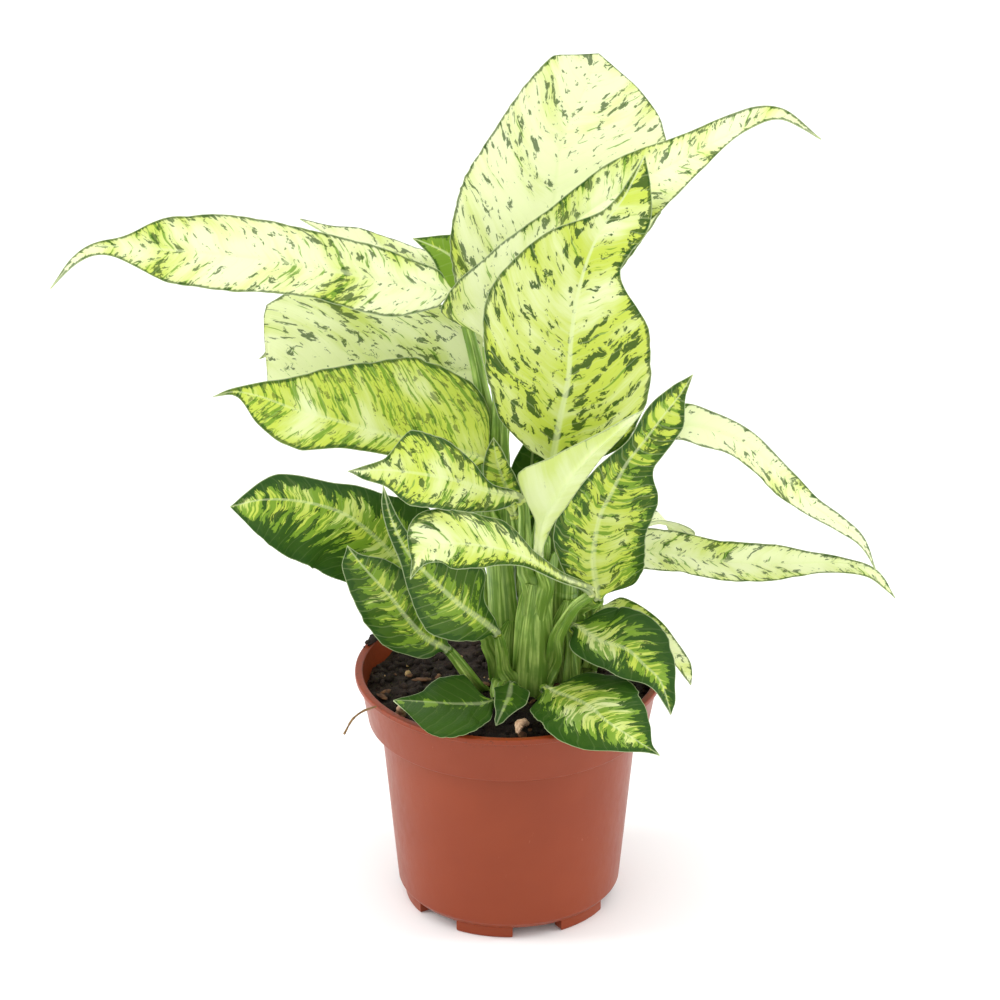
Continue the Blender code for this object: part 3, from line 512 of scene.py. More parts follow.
def half_width(row, t):
    """Half-width at t of the blade's length. The foot is as wide as the stalk."""
    x = (0,) + STATIONS + (0.97, 1)
    y = (1.4,) + tuple(row) + (0.45 * row[-1], 0.12)
    return gentle(x, y, np.asarray(t, float))


def smooth(x, low, high):
    u = np.clip((np.asarray(x, float) - low) / (high - low), 0, 1)
    return u * u * (3 - 2 * u)


def wander(x, seed, count=4):
    """A slow wavy value near -1 to 1, the same for the same seed."""
    draw = random.Random(seed)
    total = 0
    for i in range(count):
        turn = x * draw.uniform(0.6, 1.8) * (i + 1)
        total = total + np.sin(turn + draw.uniform(0, 6.3)) / (i + 1)
    return total / 1.6


def ring_faces(rings, count, start=0):
    """Quads between equal rings of count points."""
    faces = []
    for k in range(rings - 1):
        a = start + k * count
        for i in range(count):
            j = (i + 1) % count
            faces.append((a + i, a + j, a + count + j, a + count + i))
    return faces


def capped_tube(rings, count):
    """Quads between equal rings, with both ends closed."""
    ends = [tuple(range(count))[::-1], tuple(range((rings - 1) * count, rings * count))]
    return ring_faces(rings, count) + ends


# Leaves


SIDE_COLUMNS = 28
STALK_ROW = 1.6
BLADE_ROW = 1.2


def cane_at(name, z):
    foot, tip, wide, narrow = CANES[name]
    share = np.clip((z - CANE_FOOT) / (tip[2] - CANE_FOOT), 0, 1)
    lean = np.clip((share - 0.2) / 0.8, 0, 1)
    centre = np.array([foot[0] + (tip[0] - foot[0]) * lean, foot[1] + (tip[1] - foot[1]) * lean, z])
    return centre, wide + (narrow - wide) * share


def rooted_stalk(stalk):
    """The stalk's points with a foot that runs down inside the nearest cane."""
    first = np.array(stalk[0], float)

    def away(name):
        z = min(first[2], CANES[name][1][2])
        return np.linalg.norm(cane_at(name, z)[0] - first)

    name = min(CANES, key=away)
    feet = []
    for drop, hold in ((20, 1.0), (12, 0.75), (5, 0.3)):
        z = max(first[2] - drop, CANE_FOOT + 2)
        centre, radius = cane_at(name, min(z, CANES[name][1][2]))
        out = first - centre
        out[2] = 0
        reach = np.linalg.norm(out)
        out = out / max(reach, 1e-6) * min(reach, radius * 0.6)
        held = centre + out
        held[2] = z
        loose = first - (0, 0, first[2] - z)
        feet.append(tuple(loose + (held - loose) * hold))
    return feet + list(stalk)


def sheet_offsets(shape, t, u, along, sizes, seed):
    """Sideways and upward offsets of the blade's middle surface, its slope, and skin facts."""
    left = half_width(shape["left"], t)[:, None]
    right = half_width(shape["right"], t)[:, None]
    side = np.where(u < 0, -1.0, 1.0)[None, :]
    share = np.abs(u)[None, :]
    width = np.where(side < 0, left, right)
    rough = 1 + 0.012 * wander(t[:, None] * 40, seed) * smooth(width, 3, 12)
    width = width * rough
    fold = np.radians(np.where(side < 0, *shape["fold"]))
    turn = np.radians(np.where(side < 0, *[c or 0.01 for c in shape["curl"]]))
    angle = fold + turn * share
    out = (np.sin(angle) - np.sin(fold)) / turn * width
    lift = (np.cos(fold) - np.cos(angle)) / turn * width
    height, waves, shift = shape["wave"]
    phase = waves * t[:, None] + shift + np.where(side > 0, 0.37, 0)
    lift = lift + height * np.sin(2 * math.pi * phase) * share**1.6 * np.minimum(1, width / 12)
    small = wander(along[:, None] * 0.22 + side * 5, seed + 1)
    lift = lift + 0.35 * small * share**3 * smooth(width, 4, 16)
    across = share * width
    vein = along[:, None] - 0.55 * across - 0.015 * across**2
    vein = vein + 0.8 * wander(across * 0.25 + side * 3, seed + 2)
    line = (0.5 + 0.5 * np.cos(2 * math.pi * vein * MM / sizes.vein_spacing)) ** 2.5
    hold = smooth(across, 1, 5) * smooth(width * (1 - share), 0.5, 4)
    lift = lift - sizes.vein_depth / MM * line * hold
    return side * out, lift, side, angle, share, across, width, vein


def stalk_section(columns, radius, wing, groove=0.42):
    """Offsets to the right and up of a channelled, winged stalk."""
    count = 4 * columns
    a = circle(count)
    up = np.arccos(np.clip(np.sin(a), -1, 1))
    deep = 1 - groove * np.exp(-((up / 0.42) ** 2))
    deep = deep + wing * np.exp(-(((up - 0.85) / 0.16) ** 2))
    deep = deep + 0.012 * np.cos(14 * a)
    return radius * deep * np.cos(a), radius * deep * np.sin(a)


def round_trip(top):
    """Values of the upper side, then the same ones back along the underside."""
    return np.concatenate([top, top[:, ::-1][:, 1:-1]], 1)


def blade_sections(shape, sizes, blade_q, along, seed):
    """Offsets to the right and up round each section of the blade, and what the skin reads."""
    even = np.linspace(0, 1, SIDE_COLUMNS + 1)
    share = 0.55 * even + 0.45 * (0.5 - 0.5 * np.cos(math.pi * even))
    u = np.concatenate([share[::-1], -share[1:]])
    x, z, side, angle, s, across, width, vein = sheet_offsets(shape, blade_q, u, along, sizes, seed)
    taper = 1 - blade_q[:, None]
    thick = np.minimum(sizes.blade_thickness / MM / 2, 0.06 + taper * 2)
    thick = thick * (1 - s**12) ** 0.5
    thick = np.minimum(thick, 0.35 * width)
    lean = -side * np.sin(angle)
    rise = np.cos(angle)
    rib = (0.45 + 1.5 * taper**1.3) * np.exp(-((across / (0.5 + 0.9 * taper)) ** 2))
    dent = (0.08 + 0.3 * taper) * np.exp(-((across / 1.3) ** 2)) * smooth(width, 1.5, 5)
    top_x, top_z = x + lean * thick, z + rise * thick - dent
    low_x, low_z = x - lean * thick, z - rise * thick - rib
    flat_x = np.concatenate([top_x, low_x[:, ::-1][:, 1:-1]], 1)
    flat_z = np.concatenate([top_z, low_z[:, ::-1][:, 1:-1]], 1)
    facts = (across * side, vein, np.broadcast_to(s, across.shape), width * (1 - s) + 0 * across,
             across / (0.4 + 1.7 * taper))
    return flat_x, flat_z, [round_trip(fact) for fact in facts]


def skin_facts(facts, below_foot, t, seed):
    """The three attributes that the leaf's skin reads, at every point of every ring."""
    count = 4 * SIDE_COLUMNS
    b = len(below_foot)
    blade, edge, spine = (np.zeros((len(t), count, 3)) for _ in range(3))
    blade[:b, :, 0] = (np.cos(circle(count)) * 3)[None]
    blade[:b, :, 1] = below_foot[:, None]
    edge[:b, :, 1] = 20
    spine[:b, :, 0] = 9
    blade[b:, :, 0], blade[b:, :, 1], edge[b:, :, 0], edge[b:, :, 1], spine[b:, :, 0] = facts
    edge[:, 2 * SIDE_COLUMNS + 1:, 2] = 1
    spine[:, :, 1] = t[:, None]
    blade[:, :, 2] = 10 * (seed % 19)
    return blade, edge, spine


def leaf_mesh(shape, sizes, seed):
    """Rings of points round the stalk and the blade, and what the skin reads at each."""
    stalk = rooted_stalk(shape["stalk"])
    line, run = smooth_line(stalk + list(shape["rib"]))
    foot = line[len(stalk) * SPAN_STEPS]
    total = line[-1]
    stalk_q = np.linspace(0, 1, max(8, int(foot / STALK_ROW)), endpoint=False)
    blade_q = np.linspace(0, 1, max(24, int((total - foot) / BLADE_ROW)))
    q = np.concatenate([stalk_q * foot, foot + blade_q * (total - foot)])
    ahead = unit(on_line(line, run, np.minimum(q + 0.6, total))
                 - on_line(line, run, np.maximum(q - 0.6, 0)))
    t = np.concatenate([stalk_q - 1, blade_q])
    face = unit(shape["face"])
    up = np.stack([np.interp(t, [0, 0.5, 1], face[:, k]) for k in range(3)], -1)
    up = unit(up - (up * ahead).sum(-1, keepdims=True) * ahead)
    right = np.cross(ahead, up)
    centre = on_line(line, run, q)
    b = len(stalk_q)
    along = blade_q * (total - foot)
    flat_x, flat_z, facts = blade_sections(shape, sizes, blade_q, along, seed)
    rings = np.zeros((len(q), 4 * SIDE_COLUMNS, 3))
    for k in range(len(q)):
        share_up = stalk_q[k] if k < b else 1
        radius = (2.7 - 1.2 * share_up) * sizes.stalk_scale
        wing = 0.45 * (1 - smooth(share_up, 0.35, 0.75))
        sx, sz = stalk_section(SIDE_COLUMNS, radius, wing)
        if k >= b:
            keep = 1 - smooth(along[k - b], 0, 7)
            sx = sx * keep + flat_x[k - b] * (1 - keep)
            sz = sz * keep + flat_z[k - b] * (1 - keep)
        rings[k] = centre[k] + right[k] * sx[:, None] + up[k] * sz[:, None]
    return rings, skin_facts(facts, q[:b] - foot, t, seed), b


def build_leaf(name, shape, skins, sizes, seed):
    rings, facts, stalk_rows = leaf_mesh(shape, sizes, seed)
    count = 4 * SIDE_COLUMNS
    faces = capped_tube(len(rings), count)
    mesh = bpy.data.meshes.new(f"{name}_blade")
    mesh.from_pydata(metres(rings.reshape(-1, 3)), [], faces)
    index = np.zeros(len(faces), np.int32)
    index[:(stalk_rows - 1) * count] = 1
    index[-2] = 1
    for key, values in zip(("blade", "edge", "spine"), facts):
        put_attribute(mesh, key, values)
    for skin in skins:
        mesh.materials.append(skin)
    mesh.polygons.foreach_set("material_index", index)
    face_outward(mesh)
    return dress_piece(f"{name}_blade", mesh, (), (name,), 60)


def leaf_skin(name, pattern, plant):
    """Living leaf, grown: a waxy cuticle over pale and green tissue. The cuticle gives a soft
    satin gloss, and the thin blade lets light through with a yellower green."""
    made, tree = new_material(name)
    add = partial(node, tree)
    blade = add("Attribute", {}, "Vector", attribute_name="blade")
    edge = add("Attribute", {}, "Vector", attribute_name="edge")
    spine = add("Attribute", {}, "Vector", attribute_name="spine")
    along = add("SeparateXYZ", {0: blade}, 1)
    share, rim, under = (add("SeparateXYZ", {0: edge}, k) for k in range(3))
    rib = add("SeparateXYZ", {0: spine}, 0)
    # Flecks run along the side veins: about 4 mm by 2 mm, with ragged smaller ones.
    at = add("VectorMath", {0: blade, 1: pattern["size"]}, operation="MULTIPLY")
    fleck = add("TexNoise", {"Vector": at, "Scale": 1.0, "Detail": 4.0, "Roughness": 0.66,
                             "Distortion": 0.5})
    at = add("VectorMath", {0: blade, 1: (1 / 26, 1 / 17, 0.31)}, operation="MULTIPLY")
    patch = add("TexNoise", {"Vector": at, "Scale": 1.0, "Detail": 2.0, "Roughness": 0.5})
    patch = add("Math", {0: patch, 1: 0.5}, operation="SUBTRACT")
    # Feathered strokes, about 8 mm by 1 mm, blur the border of every colour field.
    at = add("VectorMath", {0: blade, 1: (1 / 13, 1 / 2.2, 0.7)}, operation="MULTIPLY")
    feather = add("TexNoise", {"Vector": at, "Scale": 1.0, "Detail": 3.0, "Roughness": 0.62})
    outward = add("Math", {0: share, 1: pattern["hold"]}, operation="POWER")

    lime = add("Math", {0: patch, 1: 2.0, 2: pattern["lime"]}, operation="MULTIPLY_ADD")
    lime = add("Math", {0: feather, 1: 0.6, 2: lime}, operation="MULTIPLY_ADD")
    lime = add("Math", {0: outward, 1: 0.3, 2: lime}, operation="MULTIPLY_ADD")
    lime = add("MapRange", {0: lime, 1: 0.35, 2: 1.25}, interpolation_type="SMOOTHSTEP")
    tint = add("Mix", {0: lime, 6: plant.cream, 7: plant.lime}, 2, data_type="RGBA")
    for source, key, skin, depth in ((feather, "mid", plant.mid_green, 0.8),
                                     (fleck, "dark", plant.dark_green, pattern["depth"])):
        threshold, to_margin, to_patch = pattern[key]
        field = add("Math", {0: outward, 1: to_margin, 2: source}, operation="MULTIPLY_ADD")
        field = add("Math", {0: patch, 1: to_patch, 2: field}, operation="MULTIPLY_ADD")
        field = add("MapRange", {0: field, 1: threshold - 0.018, 2: threshold + 0.018,
                                 4: depth}, interpolation_type="SMOOTHSTEP")
        tint = add("Mix", {0: field, 6: tint, 7: skin}, 2, data_type="RGBA")
    # A ragged green line runs just inside the margin, then a hair of pale edge: a painted highlight
    # and painted glow of light through the thin margin.
    ragged = add("Math", {0: feather, 1: 4 * pattern["rim"], 2: -0.8 * pattern["rim"]},
                 operation="MULTIPLY_ADD")
    ragged = add("Math", {0: ragged, 1: rim}, operation="SUBTRACT")
    ragged = add("MapRange", {0: ragged, 1: -0.25, 2: 0.25, 4: 0.8})
    tint = add("Mix", {0: ragged, 6: tint, 7: plant.dark_green}, 2, data_type="RGBA")
    # Painted highlight: the pale colour at the very edge stands in for light catching the margin and
    # shining through it.
    clear = add("MapRange", {0: rim, 1: 0.4, 2: 0.1, 4: 0.7})
    tint = add("Mix", {0: clear, 6: tint, 7: linear("#C9D6A4")}, 2, data_type="RGBA")
    # The midrib is a pale band that narrows towards the tip; side veins are fainter.
    band = add("MapRange", {0: rib, 1: 0.9, 2: 0.3, 4: pattern["rib"]},
               interpolation_type="SMOOTHSTEP")
    tint = add("Mix", {0: band, 6: tint, 7: linear("#EAF3BE")}, 2, data_type="RGBA")
    wave = add("Math", {0: along, 1: 2 * math.pi / (plant.vein_spacing / MM)},
               operation="MULTIPLY")
    wave = add("Math", {0: wave}, operation="COSINE")
    vein = add("MapRange", {0: wave, 1: 0.9, 2: 1.0, 4: pattern["veins"]})
    tint = add("Mix", {0: vein, 6: tint, 7: linear("#DDEAA6")}, 2, data_type="RGBA")
    pale = add("Math", {0: under, 1: 0.4}, operation="MULTIPLY")
    tint = add("Mix", {0: pale, 6: tint, 7: linear("#DCE9B2")}, 2, data_type="RGBA")
    # Fine veins 1.2 mm apart and a skin grain drawn at 1 mm, coarser than the real cells.
    fine = add("Math", {0: along, 1: 2 * math.pi / 1.2}, operation="MULTIPLY")
    fine = add("Math", {0: fine}, operation="COSINE")
    cells = add("TexNoise", {"Vector": blade, "Scale": 1.0, "Detail": 2.0})
    relief = add("Math", {0: fine, 1: 0.2, 2: cells}, operation="MULTIPLY_ADD")
    normal = add("Bump", {"Height": relief, "Distance": 0.00009, "Strength": 0.5})
    rough = add("MapRange", {0: cells, 1: 0.3, 2: 0.7, 3: 0.34, 4: 0.48})
    gloss = add("BsdfPrincipled", {"Base Color": tint, "Roughness": rough, "IOR": 1.45,
                                   "Specular IOR Level": 0.3, "Normal": normal})
    through = add("BsdfTranslucent", {"Color": tint})
    both = add("MixShader", {0: 0.34, 1: gloss, 2: through})
    add("OutputMaterial", {"Surface": both})
    return made


def stem_skin(plant):
    """Living stem, grown: firm green tissue under a thin wax. Long fibres run up it as faint
    streaks, and it has a soft sheen."""
    made, tree = new_material("stem_living_grown")
    add = partial(node, tree)
    blade = add("Attribute", {}, "Vector", attribute_name="blade")
    drop = add("SeparateXYZ", {0: blade}, 1)
    # Fibres about 0.6 mm wide and 20 mm long, and pale or green blotches of 5 mm.
    at = add("VectorMath", {0: blade, 1: (0.9, 1 / 26, 0.4)}, operation="MULTIPLY")
    streak = add("TexNoise", {"Vector": at, "Scale": 1.0, "Detail": 3.0, "Roughness": 0.55})
    at = add("VectorMath", {0: blade, 1: (1 / 7, 1 / 10, 0.4)}, operation="MULTIPLY")
    blotch = add("TexNoise", {"Vector": at, "Scale": 1.0, "Detail": 3.0})
    light = add("MapRange", {0: streak, 1: 0.46, 2: 0.68})
    tint = add("Mix", {0: light, 6: plant.stem_green, 7: linear("#B6D06F")}, 2, data_type="RGBA")
    green = add("MapRange", {0: blotch, 1: 0.5, 2: 0.68, 4: 0.6})
    tint = add("Mix", {0: green, 6: tint, 7: linear("#4F7724")}, 2, data_type="RGBA")
    foot = add("MapRange", {0: drop, 1: -25, 2: -90, 4: 0.55})
    tint = add("Mix", {0: foot, 6: tint, 7: linear("#3F6320")}, 2, data_type="RGBA")
    normal = add("Bump", {"Height": streak, "Distance": 0.0002, "Strength": 0.6})
    skin = add("BsdfPrincipled", {
        "Base Color": tint, "Roughness": 0.42, "IOR": 1.45, "Normal": normal,
        "Subsurface Weight": 0.15, "Subsurface Radius": (0.5, 1.0, 0.25),
        "Subsurface Scale": 0.003})
    add("OutputMaterial", {"Surface": skin})
    return made


class DIEFF_OT_leaves(bpy.types.Operator):
    """Builds every leaf with its stalk"""
    bl_idname = "dieffenbachia.leaves"
    bl_label = "Leaves"

    def execute(self, context):
        plant = context.scene.dieffenbachia
        stalk_skin = bpy.data.materials["stem_living_grown"]
        skins = {key: leaf_skin(f"leaf_{key}_living_grown", pattern, plant)
                 for key, pattern in PATTERNS.items()}
        for seed, (name, shape) in enumerate(LEAVES.items(), 1):
            build_leaf(name, shape, (skins[LEAF_PATTERN[name]], stalk_skin), plant, seed)
        return {"FINISHED"}


# Stems


def tube_rings(centres, radii, sides, ridges=0.0):
    """Rings of points round a line; radii is one value or one row of values each."""
    c = np.asarray(centres, float)
    ahead = unit(np.gradient(c, axis=0))
    right = unit(np.cross(ahead, (0.0, 1.0, 0.05)))
    up = np.cross(right, ahead)
    a = circle(sides)
    r = np.broadcast_to(np.asarray(radii, float).reshape(len(c), -1), (len(c), sides))
    r = r * (1 + ridges * np.cos(9 * a + 1))
    sideways = right[:, None] * (r * np.cos(a))[..., None]
    return c[:, None] + sideways + up[:, None] * (r * np.sin(a))[..., None]


def tube_piece(name, centres, radii, skin, sides=32, nodes=(), ridges=0.0, sharp=50):
    rings = tube_rings(centres, radii, sides, ridges)
    rows = len(rings)
    faces = capped_tube(rows, sides)
    obj = add_piece(name, rings.reshape(-1, 3), faces, [skin], nodes, sharp)
    face_outward(obj.data)
    size = np.broadcast_to(np.asarray(radii, float).reshape(rows, -1), (rows, sides))
    a = circle(sides)
    c = np.asarray(centres, float)
    drop = np.broadcast_to((c[:, 2] - c[-1, 2])[:, None], size.shape)
    values = np.stack([size * np.cos(a) * 1.5, drop, size * np.sin(a) * 1.5 / 2.5], -1)
    put_attribute(obj.data, "blade", values)
    return obj


def build_cane(name, skin, seed):
    tip = CANES[name][1]
    z = np.arange(CANE_FOOT, tip[2] + 0.01, 0.8)
    centres = np.array([cane_at(name, v)[0] for v in z])
    radii = np.array([cane_at(name, v)[1] for v in z])
    a = circle(40)
    draw = random.Random(seed)
    scar = CANE_FOOT + draw.uniform(9, 13)
    slant = []
    while scar < tip[2] - 6:
        slant.append((scar, draw.uniform(0, 6.28)))
        scar += draw.uniform(8, 14)
    wall = radii[:, None] * np.ones(40)
    for height, turn in slant:
        # Each old leaf leaves a low swelling with a fine pressed line above it.
        lift = z[:, None] - height - 1.2 * np.cos(a - turn)
        swelling = 0.35 * np.exp(-((lift / 2.2) ** 2))
        wall = wall + swelling - 0.45 * np.exp(-(((lift - 1.4) / 0.5) ** 2))
    wall = wall * np.sqrt(np.clip((tip[2] + 0.3 - z) / 3, 0.05, 1))[:, None]
    return tube_piece(name + "_stem", centres, wall, skin, 40, (name,), 0.012)


def build_sheath(name, cane, low, high, facing, spread, flare, skin):
    """A leaf's old sheath: a thin sheet wrapped part way round a cane, its edges standing free."""
    rows, columns, thick = 40, 26, 0.5
    outer, inner = [], []
    for i in range(rows + 1):
        t = i / rows
        z = low + (high - low) * t
        centre, radius = cane_at(cane, min(z, CANES[cane][1][2]))
        half = math.radians(spread) * (1 - 0.75 * t**2.2)
        for j in range(columns + 1):
            s = 2 * j / columns - 1
            a = math.radians(facing) + half * s
            out = radius + 0.5 + flare * (0.25 + t) * abs(s) ** 3 + 0.9 * t
            out += 0.25 * math.sin(5 * t + 3 * s + low)
            for ring, r in ((outer, out + thick), (inner, out)):
                x, y = centre[0] + r * math.cos(a), centre[1] + r * math.sin(a)
                ring.append((x, y, z + 1.2 * s * s))
    points, faces = closed_sheet(outer, inner, rows + 1, columns + 1)
    obj = add_piece(name, points, faces, [skin], (), 60)
    face_outward(obj.data)
    p = np.array(outer + inner)
    values = np.stack([np.tile(np.linspace(-9, 9, columns + 1), 2 * (rows + 1)), p[:, 2] - high,
                       np.full(len(p), low)], -1)
    put_attribute(obj.data, "blade", values)
    return obj


def closed_sheet(outer, inner, rows, columns):
    """A sheet with two skins, rows by columns of points each, joined round its edge."""
    n = rows * columns
    faces = []
    for i in range(rows - 1):
        for j in range(columns - 1):
            a = i * columns + j
            faces.append((a, a + 1, a + columns + 1, a + columns))
            faces.append((n + a, n + a + columns, n + a + columns + 1, n + a + 1))
    rim = list(range(columns))
    rim += [i * columns + columns - 1 for i in range(1, rows)]
    rim += [(rows - 1) * columns + j for j in range(columns - 2, -1, -1)]
    rim += [i * columns for i in range(rows - 2, 0, -1)]
    for a, b in zip(rim, rim[1:] + rim[:1]):
        faces.append((a, n + a, n + b, b))
    return outer + inner, faces


class DIEFF_OT_stems(bpy.types.Operator):
    """Builds the four canes and the sheaths round them"""
    bl_idname = "dieffenbachia.stems"
    bl_label = "Stems"

    def execute(self, context):
        skin = stem_skin(context.scene.dieffenbachia)
        for seed, name in enumerate(CANES, 40):
            build_cane(name, skin, seed)
        for name, *shape in SHEATHS:
            build_sheath(name, *shape, skin)
        return {"FINISHED"}


# Pot


def rounded(profile, radius, steps=4):
    """The profile with each corner turned on a small radius."""
    p = np.asarray(profile, float)
    made = [p[0]]
    for a, b, c in zip(p, p[1:], p[2:]):
        cut = min(radius, 0.45 * np.linalg.norm(a - b), 0.45 * np.linalg.norm(c - b))
        start = b + (a - b) / np.linalg.norm(a - b) * cut
        end = b + (c - b) / np.linalg.norm(c - b) * cut
        for i in range(steps + 1):
            u = i / steps
            made.append((1 - u) ** 2 * start + 2 * u * (1 - u) * b + u * u * end)
    return made + [p[-1]]


def pot_profile():
    """Underside, outer side with the collar, lip and inner side, back to the axis."""
    top, low = POT_HEIGHT, FLOOR_HEIGHT
    knee = top - COLLAR_DROP
    outer = [(0, low), (WALL_FOOT_RADIUS - 2.4, low), (WALL_FOOT_RADIUS, low + 2.8),
             (WALL_TOP_RADIUS, knee), (COLLAR_FOOT_RADIUS, knee),
             (COLLAR_TOP_RADIUS, top - LIP_THICK), (LIP_RADIUS, top - LIP_THICK),
             (LIP_RADIUS, top)]
    inner = [(COLLAR_TOP_RADIUS - WALL, top), (COLLAR_FOOT_RADIUS - WALL, knee + 2.2),
             (WALL_TOP_RADIUS - WALL, knee + 0.6), (WALL_FOOT_RADIUS - WALL, low + 5),
             (WALL_FOOT_RADIUS - 3, low + FLOOR_THICK), (0, low + FLOOR_THICK)]
    return rounded(outer + inner, 0.7)


def helper_object(name, points, faces):
    mesh = bpy.data.meshes.new(name)
    mesh.from_pydata(metres(points), [], faces)
    face_outward(mesh)
    obj = bpy.data.objects.new(name, mesh)
    bpy.context.scene.collection.objects.link(obj)
    return obj


def cut_or_join(obj, other, operation):
    change = obj.modifiers.new(other.name, "BOOLEAN")
    change.operation = operation
    change.solver = "EXACT"
    change.object = other


def foot_form(index):
    """One foot under the pot: a curved pad with rounded ends."""
    middle = math.radians(FOOT_TURN + 360 / FOOT_COUNT * index)
    half = math.radians(FOOT_ARC / 2)
    centre = FOOT_RADIUS - FOOT_WIDTH / 2
    outline = []
    for i in range(25):
        a = middle - half + 2 * half * i / 24
        outline.append((centre + FOOT_WIDTH / 2, a))
    for i in range(24, -1, -1):
        a = middle - half + 2 * half * i / 24
        outline.append((centre - FOOT_WIDTH / 2, a))
    points = []
    for z, inset in ((0, 0.5), (0.35, 0.12), (0.9, 0), (FLOOR_HEIGHT + 1, 0)):
        for r, a in outline:
            r = centre + (r - centre) * (1 - inset / (FOOT_WIDTH / 2))
            a = middle + (a - middle) * (1 - inset / (centre * half))
            points.append((r * math.cos(a), r * math.sin(a), z))
    return helper_object(f"foot_{index}", points, capped_tube(4, len(outline)))


def drain_form(index):
    a = math.radians(FOOT_TURN + 360 / FOOT_COUNT * (index + 0.5))
    x, y = DRAIN_RING * math.cos(a), DRAIN_RING * math.sin(a)
    turn = [2 * math.pi * i / 40 for i in range(40)]
    points = [(x + DRAIN_RADIUS * math.cos(b), y + DRAIN_RADIUS * math.sin(b), z)
              for z in (2, 9) for b in turn]
    return helper_object(f"drain_{index}", points, capped_tube(2, 40))


def build_pot(skin):
    profile = pot_profile()
    steps = 216
    points = [(0, 0, profile[0][1])]
    for r, z in profile[1:-1]:
        for i in range(steps):
            a = 2 * math.pi * i / steps
            points.append((r * math.cos(a), r * math.sin(a), z))
    points.append((0, 0, profile[-1][1]))
    rows = len(profile) - 2
    faces = ring_faces(rows, steps, 1)
    last = len(points) - 1
    faces += [(0, 1 + (i + 1) % steps, 1 + i) for i in range(steps)]
    start = 1 + (rows - 1) * steps
    faces += [(last, start + i, start + (i + 1) % steps) for i in range(steps)]
    body = helper_object("pot_form", points, faces)
    helpers = [body]
    for index in range(FOOT_COUNT):
        for form, operation in ((foot_form(index), "UNION"), (drain_form(index), "DIFFERENCE")):
            cut_or_join(body, form, operation)
            helpers.append(form)
    graph = bpy.context.evaluated_depsgraph_get()
    mesh = bpy.data.meshes.new_from_object(body.evaluated_get(graph))
    for form in helpers:
        bpy.data.objects.remove(form)
    mesh.name = "pot_moulded"
    mesh.materials.clear()
    return dress_piece("pot_moulded", mesh, [skin], ("pot",), 40)


def pot_skin(plant):
    """Polypropylene, injection moulded: satin from the tool, a little light gets under the
    surface, and handling leaves faint rubbed marks and compost dust. The rubbed marks are
    painted in the pale colour of the sheen on the pot's sides, so they are partly painted sheen."""
    made, tree = new_material("pot_polypropylene_moulded")
    add = partial(node, tree)
    at = add("TexCoord", {}, "Object")
    height = add("SeparateXYZ", {0: at}, 2)
    cloud = add("TexNoise", {"Vector": at, "Scale": 30.0, "Detail": 3.0})
    share = add("MapRange", {0: cloud, 1: 0.35, 2: 0.7, 4: 0.5})
    tint = add("Mix", {0: share, 6: plant.terracotta, 7: linear("#8A3B1A")}, 2, data_type="RGBA")
    # Rubbed marks with painted sheen: pale strokes about 4 mm long and 0.4 mm wide, in a few zones,
    # in the pale colour that the sheen gives the pot's sides.
    turned = add("Mapping", {"Vector": at, "Scale": (1, 1, 0.3), "Rotation": (0.5, 0.3, 0)})
    rub_and_sheen = add("TexNoise", {"Vector": turned, "Scale": 420.0, "Detail": 4.0, "Roughness": 0.75})
    rub_and_sheen_zone = add("TexNoise", {"Vector": at, "Scale": 45.0, "Detail": 1.0})
    rub_and_sheen_zone = add("MapRange", {0: rub_and_sheen_zone, 1: 0.55, 2: 0.7, 4: 0.35})
    share = add("MapRange", {0: rub_and_sheen, 1: 0.66, 2: 0.72})
    share = add("Math", {0: share, 1: rub_and_sheen_zone}, operation="MULTIPLY")
    # Painted sheen: the pale stroke colour is the sheen on the pot's sides, laid on in scattered
    # strokes as well as wear.
    tint = add("Mix", {0: share, 6: tint, 7: linear("#C98A70")}, 2, data_type="RGBA")
    # Compost dust lies on the rim and just under it.
    dust = add("TexNoise", {"Vector": at, "Scale": 800.0, "Detail": 3.0, "Roughness": 0.6})
    dust = add("MapRange", {0: dust, 1: 0.58, 2: 0.66})
    high = add("MapRange", {0: height, 1: (POT_HEIGHT - 7) * MM, 2: POT_HEIGHT * MM, 4: 0.6})
    share = add("Math", {0: dust, 1: high}, operation="MULTIPLY")
    tint = add("Mix", {0: share, 6: tint, 7: linear("#46281C")}, 2, data_type="RGBA")
    # The tool's fine spark texture, drawn at 0.7 mm, and a slow unevenness of the wall.
    fine = add("TexNoise", {"Vector": at, "Scale": 1400.0, "Detail": 2.0})
    normal = add("Bump", {"Height": fine, "Distance": 0.00003, "Strength": 0.5})
    normal = add("Bump", {"Height": cloud, "Distance": 0.0006, "Strength": 0.25,
                          "Normal": normal})
    rough = add("MapRange", {0: rub_and_sheen, 1: 0.3, 2: 0.75, 3: 0.32, 4: 0.46})
    skin = add("BsdfPrincipled", {
        "Base Color": tint, "Roughness": rough, "IOR": 1.49, "Normal": normal,
        "Specular IOR Level": 0.28, "Subsurface Weight": 0.06,
        "Subsurface Radius": (1.0, 0.35, 0.2), "Subsurface Scale": 0.002})
    add("OutputMaterial", {"Surface": skin})
    return made


class DIEFF_OT_pot(bpy.types.Operator):
    """Builds the moulded nursery pot with its feet and drain holes"""
    bl_idname = "dieffenbachia.pot"
    bl_label = "Pot"

    def execute(self, context):
        build_pot(pot_skin(context.scene.dieffenbachia))
        return {"FINISHED"}


# Compost


def soil_height(x, y):
    """Height of the compost's crumbly top at a plan position."""
    r = math.hypot(x, y)
    base = SOIL_EDGE - 0.5 + (SOIL_CROWN - SOIL_EDGE) * (1 - smooth(r, 20, 52))
    lumps = 0
    for size, height in ((17, 1.3), (6, 1.3), (2.6, 0.9), (1.2, 0.35)):
        lumps += height * noise.noise(Vector((x / size, y / size, size)))
    return float(base) + lumps


